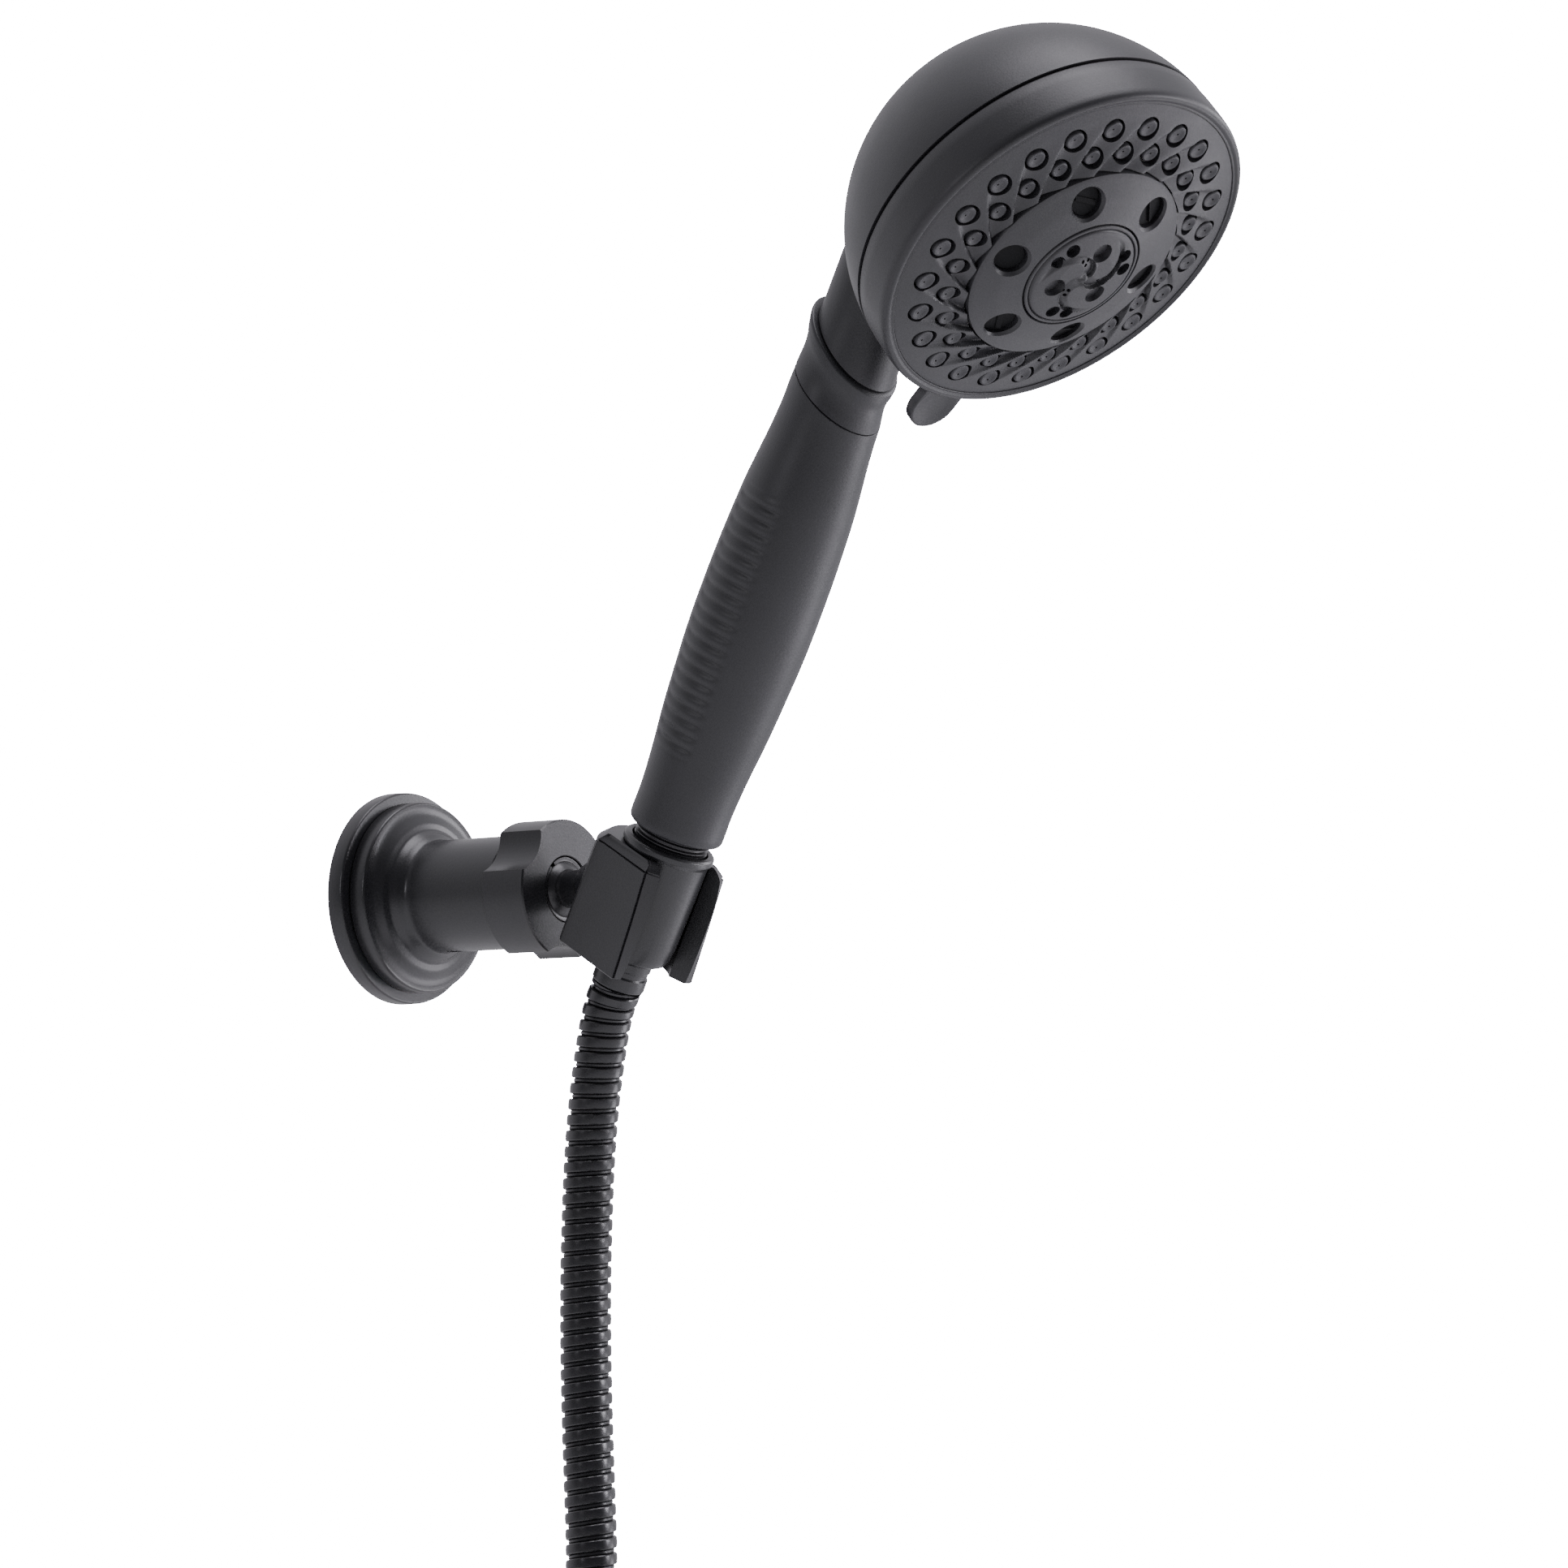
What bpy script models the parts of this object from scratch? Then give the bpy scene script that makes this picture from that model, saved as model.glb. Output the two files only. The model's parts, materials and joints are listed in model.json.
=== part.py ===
"""Handheld shower head on a ball-jointed wall holder, with its metal hose.

Frames: X is sideways, the wall is the plane Y = 0, the set stands out from it along -Y, and Z is up.
The holder and all that it carries are turned a little about the ball's upright axis.
Lengths below are millimetres and angles degrees; MM turns them into metres.
"""
import math

import bmesh
import bpy
from mathutils import Matrix, Vector

MM = 0.001

# Driving dimensions
BALL_DEPTH = 56.0          # ball centre, out from the wall
BALL_R = 9.5
PAN = -7.77                # turn of the holder about the ball's upright axis
HANDLE_LEAN = 28.9         # handle axis, away from upright
HANDLE_FOOT = (0.0, -49.65, 13.58)    # handle's lower end, from the ball centre
FACE_LEAN = 50.24          # spray axis, below level
FACE_CENTRE = (0.0, -191.11, 152.99)  # middle of the rim, from the ball centre
FIT_GAP = 0.3              # gap between pieces that touch

WALL_PLATE_R = 30.0
WALL_PLATE_T = 5.3
HUB_R = 12.1
HUB_LENGTH = 27.0
ARM_R = 15.8
ARM_BORE_R = 12.4
ARM_END = 40.0
NUT_R = 19.4
NUT_FRONT = 62.0
STEM_R = 5.0

CLIP_TOP = -6.6            # along the handle axis, from the handle's lower end
CLIP_BOTTOM = -40.0
CLIP_BORE_R = 12.4
CLIP_HALF_WIDTH = 15.0
CONE_NUT_R = 12.0
FERRULE_R = 7.3
FERRULE_END = -46.4

SEAM_SLOPE = 0.625         # fall of the collar's seams toward the front
LOWER_SEAM = 127.5
UPPER_SEAM = 139.7
NECK_R = 12.25
NECK_BORE_R = 10.0
GOOSE_R = 22.0             # bend of the neck where it enters the dome
ELBOW_R = 18.5

DOME_R = 51.94
DOME_CENTRE = -8.28        # along the spray axis, from the rim plane
DOME_WALL = 2.5
SEAM_PLANE = -13.6
RIM_R = 52.0
FACE_R = 49.5
PLATE_R = 30.2
CAP_R = 16.4
NOZZLES = 24
OUTER_NOZZLE_RING = 42.2
INNER_NOZZLE_RING = 35.4
JETS = 6
JET_RING = 23.5
JET_PHASE = 3.2

HOSE_R = 6.8
COIL_R = 75.0              # to the middle of the turns
COIL_HALF_WIDTH = 21.4
# Hose centre line from its ferrule to where it joins the coil, from the ball centre
HOSE_ROUTE = [
    (0.0, -27.03, -27.39), (0.0, -24.2, -32.5), (0.0, -22.2, -38.4), (0.0, -20.0, -48.0),
    (0.0, -17.9, -60.0),
    (0.0, -16.2, -76.0), (0.0, -15.2, -96.0), (0.0, -14.9, -112.0), (0.0, -15.1, -128.0),
    (0.0, -15.8, -147.0), (0.0, -16.8, -165.0), (0.0, -17.6, -182.0), (-1.2, -18.1, -196.0),
    (-5.4, -18.2, -210.0), (-10.4, -18.2, -223.0), (-13.6, -18.2, -235.0), (-14.3, -18.2, -243.3),
]
COIL_CENTRE = (0.0, -93.2, -290.0)
STRAND_PITCH = 14.3        # from one turn of the coil to the next
TAIL_LENGTH = 10.0
END_NUT_R = 12.0

PARTS = bpy.data.collections.new("hand_shower")
CUTTERS = bpy.data.collections.new("cutters")


def clear_scene():
    for item in list(bpy.data.objects):
        bpy.data.objects.remove(item, do_unlink=True)
    for collection in (PARTS, CUTTERS):
        bpy.context.scene.collection.children.link(collection)


def material(name, colour, roughness, metallic=0.0):
    """One Principled BSDF material of a plain colour."""
    made = bpy.data.materials.new(name)
    made.use_nodes = True
    shader = made.node_tree.nodes["Principled BSDF"]
    shader.inputs["Base Color"].default_value = (*colour, 1.0)
    shader.inputs["Roughness"].default_value = roughness
    shader.inputs["Metallic"].default_value = metallic
    return made


def frame(name, place, turn=(0.0, 0.0, 0.0), parent=None):
    """An empty that carries pieces: its place in millimetres and its turn in degrees."""
    empty = bpy.data.objects.new(name, None)
    empty.location = Vector(place) * MM
    empty.rotation_euler = [math.radians(angle) for angle in turn]
    empty.parent = parent
    PARTS.objects.link(empty)
    return empty


def place(name, mesh, parent, paint, at=(0.0, 0.0, 0.0), turn=(0.0, 0.0, 0.0)):
    """Put a mesh in the model as a piece, or among the cutters where it has no paint."""
    piece = bpy.data.objects.new(name, mesh)
    piece.location = Vector(at) * MM
    piece.rotation_euler = [math.radians(angle) for angle in turn]
    piece.parent = parent
    if paint:
        mesh.materials.append(paint)
        PARTS.objects.link(piece)
    else:
        piece.hide_render = True
        piece.display_type = "WIRE"
        CUTTERS.objects.link(piece)
    return piece


def turned(name, profile, parent, paint=None, closed=True, steps=28, at=(0, 0, 0), turn=(0, 0, 0)):
    """A turned piece: its profile (radius, height) runs down its outer side, about local Z."""
    mesh = bpy.data.meshes.new(name)
    points = [(radius * MM, 0.0, height * MM) for radius, height in profile]
    edges = [(i, i + 1) for i in range(len(points) - 1)]
    if closed:
        edges.append((len(points) - 1, 0))
    mesh.from_pydata(points, edges, [])
    piece = place(name, mesh, parent, paint, at, turn)
    screw = piece.modifiers.new("turn", "SCREW")
    screw.axis = "Z"
    screw.steps = steps
    screw.render_steps = steps
    screw.use_merge_vertices = True
    screw.merge_threshold = 1e-6
    screw.use_smooth_shade = True
    return piece


def arc(centre, radius, start, stop, count):
    """Points of an arc in a profile, angles from +radius toward +height."""
    angles = [math.radians(start + (stop - start) * i / count) for i in range(count + 1)]
    return [(centre[0] + radius * math.cos(a), centre[1] + radius * math.sin(a)) for a in angles]


def rods(name, spots, parent, paint=None, sides=16, at=(0, 0, 0), turn=(0, 0, 0)):
    """Separate upright cones or cylinders in one mesh: (x, y, low, high, low radius, high radius)."""
    mesh = bpy.data.meshes.new(name)
    shape = bmesh.new()
    for x, y, low, high, low_r, high_r in spots:
        spot = Matrix.Translation(Vector((x, y, (low + high) / 2)) * MM)
        bmesh.ops.create_cone(shape, cap_ends=True, segments=sides, radius1=low_r * MM,
                              radius2=high_r * MM, depth=(high - low) * MM, matrix=spot)
    shape.to_mesh(mesh)
    shape.free()
    return place(name, mesh, parent, paint, at, turn)


def blocks(name, boxes, parent, paint=None, at=(0, 0, 0), turn=(0, 0, 0)):
    """Separate boxes in one mesh: (middle, size, turn about Z, then tilt about the box's X)."""
    mesh = bpy.data.meshes.new(name)
    shape = bmesh.new()
    for middle, size, spin, tilt in boxes:
        pose = Matrix.Translation(Vector(middle) * MM) @ Matrix.Rotation(math.radians(spin), 4, "Z")
        pose = pose @ Matrix.Rotation(math.radians(tilt), 4, "X") @ Matrix.Diagonal((*size, 1.0))
        bmesh.ops.create_cube(shape, size=MM, matrix=pose)
    shape.to_mesh(mesh)
    shape.free()
    return place(name, mesh, parent, paint, at, turn)


def swept(name, route, radius, parent, paint=None, resolution=3, radii=None, at=(0, 0, 0)):
    """A round bar along a route of points, made a mesh with its caps joined on."""
    curve = bpy.data.curves.new(name, "CURVE")
    curve.dimensions = "3D"
    curve.bevel_depth = radius * MM
    curve.bevel_resolution = resolution
    curve.use_fill_caps = True
    spline = curve.splines.new("POLY")
    spline.points.add(len(route) - 1)
    for i, spot in enumerate(route):
        spline.points[i].co = (*(Vector(spot) * MM), 1.0)
        spline.points[i].radius = radii[i] / radius if radii else 1.0
    bar = bpy.data.objects.new(name + "_path", curve)
    bpy.context.scene.collection.objects.link(bar)
    evaluated = bar.evaluated_get(bpy.context.evaluated_depsgraph_get())
    mesh = bpy.data.meshes.new_from_object(evaluated)
    mesh.name = name
    bpy.data.objects.remove(bar)
    bpy.data.curves.remove(curve)
    shape = bmesh.new()
    shape.from_mesh(mesh)
    bmesh.ops.remove_doubles(shape, verts=shape.verts, dist=1e-6)
    bmesh.ops.recalc_face_normals(shape, faces=shape.faces)
    shape.to_mesh(mesh)
    shape.free()
    mesh.materials.clear()
    return place(name, mesh, parent, paint, at)


def outline_prism(name, outline, low, high, parent, paint=None):
    """A flat outline of (x, y) points, raised from one height to another."""
    curve = bpy.data.curves.new(name, "CURVE")
    curve.dimensions = "2D"
    curve.fill_mode = "BOTH"
    curve.extrude = (high - low) / 2 * MM
    spline = curve.splines.new("POLY")
    spline.points.add(len(outline) - 1)
    for i, (x, y) in enumerate(outline):
        spline.points[i].co = (x * MM, y * MM, 0.0, 1.0)
    spline.use_cyclic_u = True
    plate = bpy.data.objects.new(name + "_outline", curve)
    bpy.context.scene.collection.objects.link(plate)
    evaluated = plate.evaluated_get(bpy.context.evaluated_depsgraph_get())
    mesh = bpy.data.meshes.new_from_object(evaluated)
    mesh.name = name
    bpy.data.objects.remove(plate)
    bpy.data.curves.remove(curve)
    shape = bmesh.new()
    shape.from_mesh(mesh)
    bmesh.ops.remove_doubles(shape, verts=shape.verts, dist=1e-6)
    bmesh.ops.recalc_face_normals(shape, faces=shape.faces)
    bmesh.ops.translate(shape, verts=shape.verts, vec=(0.0, 0.0, (high + low) / 2 * MM))
    shape.to_mesh(mesh)
    shape.free()
    mesh.materials.clear()
    return place(name, mesh, parent, paint)


def combine(piece, tool, operation):
    """Cut a piece with a tool, join the tool on, or keep what they share."""
    step = piece.modifiers.new(tool.name, "BOOLEAN")
    step.operation = operation
    step.solver = "EXACT"
    step.object = tool
    return piece


def smooth(piece, angle=32.0):
    """Round shading with edges sharper than the angle kept sharp."""
    piece.data.shade_smooth()
    piece.data.set_sharp_from_angle(angle=math.radians(angle))


def bake(piece, shear=0.0):
    """Apply a piece's modifiers; a shear raises it by its local Y times the slope."""
    evaluated = piece.evaluated_get(bpy.context.evaluated_depsgraph_get())
    mesh = bpy.data.meshes.new_from_object(evaluated)
    mesh.name = piece.name
    lean = Matrix.Identity(4)
    lean[2][1] = shear
    mesh.transform(lean)
    piece.modifiers.clear()
    piece.data = mesh
    return piece


def coil_route(radius, low, high, turns, per_turn=10):
    """Points of a helical spring about local Z."""
    count = int(turns * per_turn)
    return [(radius * math.cos(2 * math.pi * i / per_turn), radius * math.sin(2 * math.pi * i / per_turn),
             low + (high - low) * i / count) for i in range(count + 1)]


def ring_spots(count, radius, phase=0.0):
    """Evenly spaced places on a circle."""
    angles = [math.radians(phase + 360.0 * i / count) for i in range(count)]
    return [(radius * math.cos(a), radius * math.sin(a)) for a in angles]


def smooth_route(points, spacing):
    """Even points along a smooth curve through the given ones (Catmull-Rom)."""
    spots = [Vector(p) for p in points]
    spots = [spots[0] * 2 - spots[1]] + spots + [spots[-1] * 2 - spots[-2]]
    fine = []
    for a, b, c, d in zip(spots, spots[1:], spots[2:], spots[3:]):
        for i in range(20):
            t = i / 20
            fine.append(0.5 * (2 * b + (c - a) * t + (2 * a - 5 * b + 4 * c - d) * t * t
                               + (3 * b - a - 3 * c + d) * t ** 3))
    fine.append(spots[-2])
    total = sum((q - p).length for p, q in zip(fine, fine[1:]))
    count = round(total / spacing)
    even, walked, goal = [fine[0]], 0.0, total / count
    for p, q in zip(fine, fine[1:]):
        step = (q - p).length
        while walked + step >= goal - 1e-9 and len(even) < count:
            even.append(p.lerp(q, (goal - walked) / step))
            goal += total / count
        walked += step
    even.append(fine[-1])
    return even


def paints():
    """The model's materials."""
    return {
        "shell": material("matte_shell", (0.045, 0.045, 0.05), 0.42),
        "metal": material("matte_black_metal", (0.04, 0.04, 0.043), 0.38, 0.3),
        "hose": material("hose_metal", (0.06, 0.06, 0.065), 0.33, 0.6),
        "silicone": material("nozzle_silicone", (0.06, 0.06, 0.065), 0.6),
        "rubber": material("seal_rubber", (0.02, 0.02, 0.02), 0.75),
        "acetal": material("white_acetal", (0.75, 0.75, 0.72), 0.45),
        "brass": material("brass", (0.62, 0.45, 0.19), 0.32, 1.0),
        "steel": material("spring_steel", (0.6, 0.6, 0.62), 0.3, 1.0),
        "tie": material("tie_fabric", (0.03, 0.03, 0.032), 0.85),
    }


def build_wall_holder(paint):
    """Wall plate, arm, grub screw, and the ball joint's fixed pieces."""
    wall = frame("wall_frame", (0.0, 0.0, 0.0), (90.0, 0.0, 0.0))
    plate = turned("wall_plate", [
        (0.0, HUB_LENGTH), (HUB_R - 1.0, HUB_LENGTH), (HUB_R, HUB_LENGTH - 1.0), (HUB_R, WALL_PLATE_T),
        (WALL_PLATE_R - 1.0, WALL_PLATE_T), (WALL_PLATE_R - 0.2, WALL_PLATE_T - 0.5),
        (WALL_PLATE_R, WALL_PLATE_T - 1.4), (WALL_PLATE_R, 0.0), (0.0, 0.0)],
        wall, paint["metal"], closed=False, steps=32)
    holes = rods("wall_plate_holes", [(side * 18.0, 0.0, -2.0, 9.0, 2.4, 2.4) for side in (-1, 1)], wall)
    combine(plate, holes, "DIFFERENCE")
    smooth(plate)

    flange_r = 26.6
    arm = turned("flange_arm", [
        (0.0, 36.0), (11.2, 36.0), (11.2, 54.0), (14.0, 54.0), (14.4, 53.5), (14.4, ARM_END),
        (ARM_R, ARM_END), (ARM_R, 18.5), (16.1, 16.8), (17.4, 15.2), (18.2, 13.5), (19.4, 13.1),
        (22.2, 11.0), (24.2, 10.2), (26.0, 10.9), (flange_r, 10.5), (27.0, WALL_PLATE_T + FIT_GAP),
        (23.6, WALL_PLATE_T + FIT_GAP), (23.6, 8.0), (ARM_BORE_R, 8.0),
        (ARM_BORE_R, 32.0), (0.0, 32.0)], wall, paint["metal"], closed=False, steps=32)
    grub_depth = 22.0
    grub_hole = rods("grub_hole", [(0.0, 0.0, 11.0, 18.0, 2.65, 2.65)], wall,
                     at=(0.0, 0.0, grub_depth), turn=(90.0, 0.0, 0.0))
    combine(arm, grub_hole, "DIFFERENCE")
    smooth(arm)
    grub = rods("grub_screw", [(0.0, 0.0, 12.5, 15.4, 2.35, 2.35)], wall, paint["steel"],
                at=(0.0, 0.0, grub_depth), turn=(90.0, 0.0, 0.0))
    hex_socket = rods("grub_socket", [(0.0, 0.0, 13.6, 17.0, 1.3, 1.3)], wall, sides=6,
                      at=(0.0, 0.0, grub_depth), turn=(90.0, 0.0, 0.0))
    combine(grub, hex_socket, "DIFFERENCE")

    joint = frame("ball_nut_frame", (0.0, -BALL_DEPTH, 0.0), (90.0, 0.0, 0.0))
    lip = NUT_FRONT - BALL_DEPTH
    nut = turned("ball_nut", [
        (9.3, lip), (NUT_R - 0.7, lip + 0.2), (NUT_R - 0.2, lip - 0.2), (NUT_R, lip - 0.8),
        (NUT_R + 0.3, -8.0), (NUT_R - 0.1, -11.0), (NUT_R - 0.9, -13.6), (NUT_R - 2.0, -15.2),
        (NUT_R - 2.6, -15.7), (14.8, -15.7), (14.8, lip - 1.8), (9.3, lip - 1.8)],
        joint, paint["metal"], steps=36)
    flat_at = 18.3
    flats = blocks("nut_flats", [
        ((math.cos(math.radians(a)) * (flat_at + 5.0), math.sin(math.radians(a)) * (flat_at + 5.0), -5.0),
         (10.0, 30.0, 30.0), a, 0.0) for a in (23.0, 143.0, 263.0)], joint)
    combine(nut, flats, "DIFFERENCE")
    smooth(nut, 20.0)

    collet = turned("split_collet", [
        (7.85, lip - 0.1), (9.0, lip - 0.1), (9.0, 3.9), (13.8, 3.9), (13.8, 3.0), (9.4, 3.0),
        (8.0, 5.6)], joint, paint["acetal"], steps=32)
    split = blocks("collet_split", [((-7.6, 8.2, 4.0), (12.0, 1.6, 8.0), 133.0, 0.0)], joint)
    combine(collet, split, "DIFFERENCE")
    smooth(collet)

    spring = swept("seat_spring", coil_route(7.8, -19.2, -9.4, 3.5, 10), 0.6, joint, paint["steel"], 0)
    smooth(spring, 60.0)
    return joint


def build_ball_joint(swivel, paint):
    """The pieces that turn in the ball joint: seat, ball with its stem, and the holder's screw."""
    stem = frame("stem_frame", (0.0, 0.0, 0.0), (90.0, 0.0, 0.0), swivel)
    outer, inner = BALL_R + 1.1, BALL_R + FIT_GAP
    seat = turned("ball_seat", arc((0.0, 0.0), outer, -5.4, -54.2, 4) + arc((0.0, 0.0),
        inner, -61.3, -5.9, 4),
                  stem, paint["acetal"], steps=24)
    smooth(seat)
    stem_end = 21.0
    start = math.degrees(math.acos(STEM_R / BALL_R))
    ball = turned("ball_stem", [(0.0, 9.0), (2.3, 9.0), (2.3, stem_end), (STEM_R, stem_end)]
                  + arc((0.0, 0.0), BALL_R, start, -57.4, 7) + [(0.0, -8.0)],
                  stem, paint["metal"], closed=False, steps=28)
    smooth(ball, 40.0)
    screw = turned("holder_screw", [
        (0.0, 24.4), (1.4, 24.4), (1.4, 25.4), (3.9, 25.4), (3.9, 23.9), (2.0, 23.6), (2.0, 10.0),
        (0.0, 10.0)],
        stem, paint["steel"], closed=False, steps=16)
    smooth(screw)
    return stem


def build_clip(handle, stem, paint):
    """The cradle that the hose nut rests in, with its boss for the stem."""
    inner = arc((0.0, 0.0), CLIP_BORE_R, 226.0, -46.0, 14)
    outline = [(CLIP_HALF_WIDTH, -9.2), (CLIP_HALF_WIDTH, 9.6)] + arc((0.0, 1.5), 18.2, 33.0, 147.0, 10)
    outline += [(-CLIP_HALF_WIDTH, 9.6), (-CLIP_HALF_WIDTH, -9.2), (-11.5, -12.0)] + inner + [(11.5, -12.0)]
    clip = outline_prism("holder_clip", outline, CLIP_BOTTOM, CLIP_TOP, handle, paint["shell"])
    boss = rods("clip_boss", [(0.0, 0.0, 12.5, 24.5, 8.4, 9.6)], stem, sides=22, turn=(0.0, 0.0, 3.1))
    combine(clip, boss, "UNION")
    mouth = outline_prism("clip_mouth", arc((0.0, 0.0), CLIP_BORE_R, 1.0, 349.0, 29), CLIP_BOTTOM - 5.0,
                          CLIP_TOP + 5.0, handle)
    combine(clip, mouth, "DIFFERENCE")
    for name, low, high, radius in (("stem_socket", 5.0, 21.4, 5.3), ("clip_screw_hole", 15.0, 30.0, 2.3),
                                    ("clip_counterbore", 23.5, 40.0, 4.2)):
        hole = rods(name, [(0.0, 0.0, low, high, radius, radius)], stem, sides=16, turn=(0.0, 0.0, 4.3))
        combine(clip, hole, "DIFFERENCE")
    for side in (-1, 1):
        slope = blocks(f"clip_slope_{side}", [((0.0, 0.0, 0.0), (8.0, 60.0, 12.0), 0.0, 0.0)], handle,
                       at=(side * 17.6, 0.0, CLIP_TOP + 1.6), turn=(0.0, side * 42.0, 0.0))
        combine(clip, slope, "DIFFERENCE")
    smooth(clip, 25.0)


def build_hose_end(handle, paint):
    """The nut, washer and ferrule that join the hose to the handle."""
    thread_r = 10.8
    nut = turned("cone_nut", [
        (thread_r, -3.6), (12.3, -3.6), (12.8, -4.3), (12.8, -5.7), (CONE_NUT_R, -6.6),
        (11.8, -30.0), (11.3, -34.5), (10.1, -36.9), (8.7, -37.7), (7.7, -37.7),
        (7.7, -19.4), (thread_r, -19.4)], handle, paint["metal"], steps=32)
    smooth(nut, 35.0)
    washer = turned("hose_washer", [(5.2, -14.2), (10.2, -14.2), (10.2, -16.2), (5.2, -16.2)],
                    handle, paint["rubber"], steps=22)
    smooth(washer)
    ferrule = turned("hose_ferrule", [
        (4.4, -16.5), (10.0, -16.5), (10.0, -19.0), (FERRULE_R, -19.0), (FERRULE_R, FERRULE_END + 0.4),
        (7.0, FERRULE_END), (4.4, FERRULE_END)], handle, paint["metal"], steps=28)
    smooth(ferrule)


def build_handle(handle, paint):
    """Handle shell, inlet, check valve and waterway."""
    spigot = turned("inlet_spigot", [
        (7.8, 18.0), (10.9, 18.0), (10.9, 0.3), (9.8, -0.4), (9.8, -2.6), (10.4, -3.1), (10.4, -13.8),
        (7.8, -13.8)],
        handle, paint["brass"], steps=24)
    smooth(spigot)
    restrictor = turned("flow_restrictor", [(1.2, -12.0), (7.4, -12.0), (7.4, -13.4), (1.2, -13.4)],
                        handle, paint["acetal"], steps=24)
    jets = rods("restrictor_holes", [(x, y, -15.0, -10.0, 0.9, 0.9) for x, y in ring_spots(4, 4.4)], handle,
                sides=6)
    combine(restrictor, jets, "DIFFERENCE")
    smooth(restrictor)
    valve = turned("check_valve_body", [
        (3.2, 4.0), (7.4, 4.0), (7.4, -11.6), (3.4, -11.6), (3.4, -9.5), (5.6, -9.5), (5.6, 2.0),
        (3.2, 2.0)],
        handle, paint["acetal"], steps=24)
    smooth(valve)
    poppet = turned("check_valve_poppet", [
        (0.0, 1.0), (1.3, 1.0), (1.3, -6.4), (4.8, -6.4), (4.8, -7.6), (4.0, -9.1), (0.0, -9.1)],
        handle, paint["rubber"], closed=False, steps=20)
    smooth(poppet)
    spring = swept("check_valve_spring", coil_route(4.1, -5.8, 1.4, 4.0, 8), 0.4, handle, paint["steel"], 0)
    smooth(spring, 60.0)
    tube = turned("waterway_tube", [(5.6, 150.0), (7.0, 150.0), (7.0, 18.4), (5.6, 18.4)],
                  handle, paint["acetal"], steps=24)
    smooth(tube)

    shell = turned("handle_shell", [
        (11.3, 142.0), (13.0, 142.0), (13.45, 127.0), (13.5, 121.0), (14.8, 106.0), (15.7, 96.0),
        (16.2, 82.0), (16.5, 65.0), (16.2, 51.0), (15.45, 38.0), (14.2, 23.5), (13.45, 14.5), (13.2, 8.0),
        (13.2, 0.8), (12.4, 0.0), (11.3, 0.0)], handle, paint["shell"], steps=32)
    cap = blocks("handle_top_cut", [((0.0, 0.0, 0.0), (60.0, 60.0, 40.0), 0.0, 0.0)], handle)
    cap.data.transform(Matrix.Translation((0.0, 0.0, 20.0 * MM)))
    lean = Matrix.Identity(4)
    lean[2][1] = SEAM_SLOPE
    cap.data.transform(lean)
    cap.location = (0.0, 0.0, (LOWER_SEAM - FIT_GAP / 2) * MM)
    combine(shell, cap, "DIFFERENCE")
    smooth(shell)


def build_collar(handle, paint):
    """The flared trim ring between handle and head; its edges fall toward the front."""
    low, high = LOWER_SEAM + FIT_GAP / 2, UPPER_SEAM - FIT_GAP / 2
    collar = turned("collar_ring", [
        (10.9, high), (13.1, high), (13.5, high - 0.8), (13.1, high - 3.4), (12.45, high - 8.0),
        (12.6, low), (10.9, low)], handle, paint["shell"], steps=32)
    bake(collar, SEAM_SLOPE)
    smooth(collar)


def goose_route(start, bend, sweep, count=8):
    """The neck's middle line in the handle frame: straight, then bending forward into the head."""
    run = [(0.0, 0.0, start), (0.0, 0.0, (start + 163.0) / 2), (0.0, 0.0, 163.0)]
    for i in range(1, count + 1):
        a = math.radians(sweep * i / count)
        run.append((0.0, -bend * (1 - math.cos(a)), 163.0 + bend * math.sin(a)))
    return run


def build_back_shell(handle, head, paint):
    """The dome with its neck, one hollow piece open at the face and at the collar."""
    low = math.degrees(math.asin((SEAM_PLANE - FIT_GAP / 2 - DOME_CENTRE) / DOME_R))
    shell = turned("back_shell", [(0.0, SEAM_PLANE - FIT_GAP / 2)]
                   + [(r, z + DOME_CENTRE) for r, z in arc((0.0, 0.0), DOME_R, low, -90.0, 11)][:-1]
                   + [(0.0, DOME_CENTRE - DOME_R)], head, paint["shell"], closed=False, steps=44)
    route = goose_route(125.0, GOOSE_R, 66.0)
    flare = [(0.0, 0.0, z) for z in (130.0, 141.0, 146.0, 151.0)]
    route = [route[0]] + flare + route[2:]
    radii = [13.1, 13.1, 13.0, 12.65, 12.35] + [NECK_R] * (len(route) - 5)
    neck = swept("neck_outside", route, NECK_R, handle, resolution=8, radii=radii)
    combine(shell, neck, "UNION")
    inside = turned("dome_inside", [(0.0, 0.0), (47.5, 0.0), (47.5, SEAM_PLANE - 1.0)]
                    + [(r, z + DOME_CENTRE) for r, z in arc((0.0, 0.0),
                        DOME_R - DOME_WALL, -8.0, -90.0, 7)][:-1]
                    + [(0.0, DOME_CENTRE - DOME_R + DOME_WALL)], head, closed=False, steps=30,
                    turn=(0.0, 0.0, 2.7))
    combine(shell, inside, "DIFFERENCE")
    bore = swept("neck_bore", goose_route(124.0, GOOSE_R, 84.0), NECK_BORE_R, handle, resolution=6)
    combine(shell, bore, "DIFFERENCE")
    foot = blocks("neck_foot_cut", [((0.0, 0.0, 0.0), (80.0, 80.0, 40.0), 0.0, 0.0)], handle)
    foot.data.transform(Matrix.Translation((0.0, 0.0, -20.0 * MM)))
    lean = Matrix.Identity(4)
    lean[2][1] = SEAM_SLOPE
    foot.data.transform(lean)
    foot.location = (0.0, 0.0, (UPPER_SEAM + FIT_GAP / 2) * MM)
    combine(shell, foot, "DIFFERENCE")
    smooth(shell)


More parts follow.
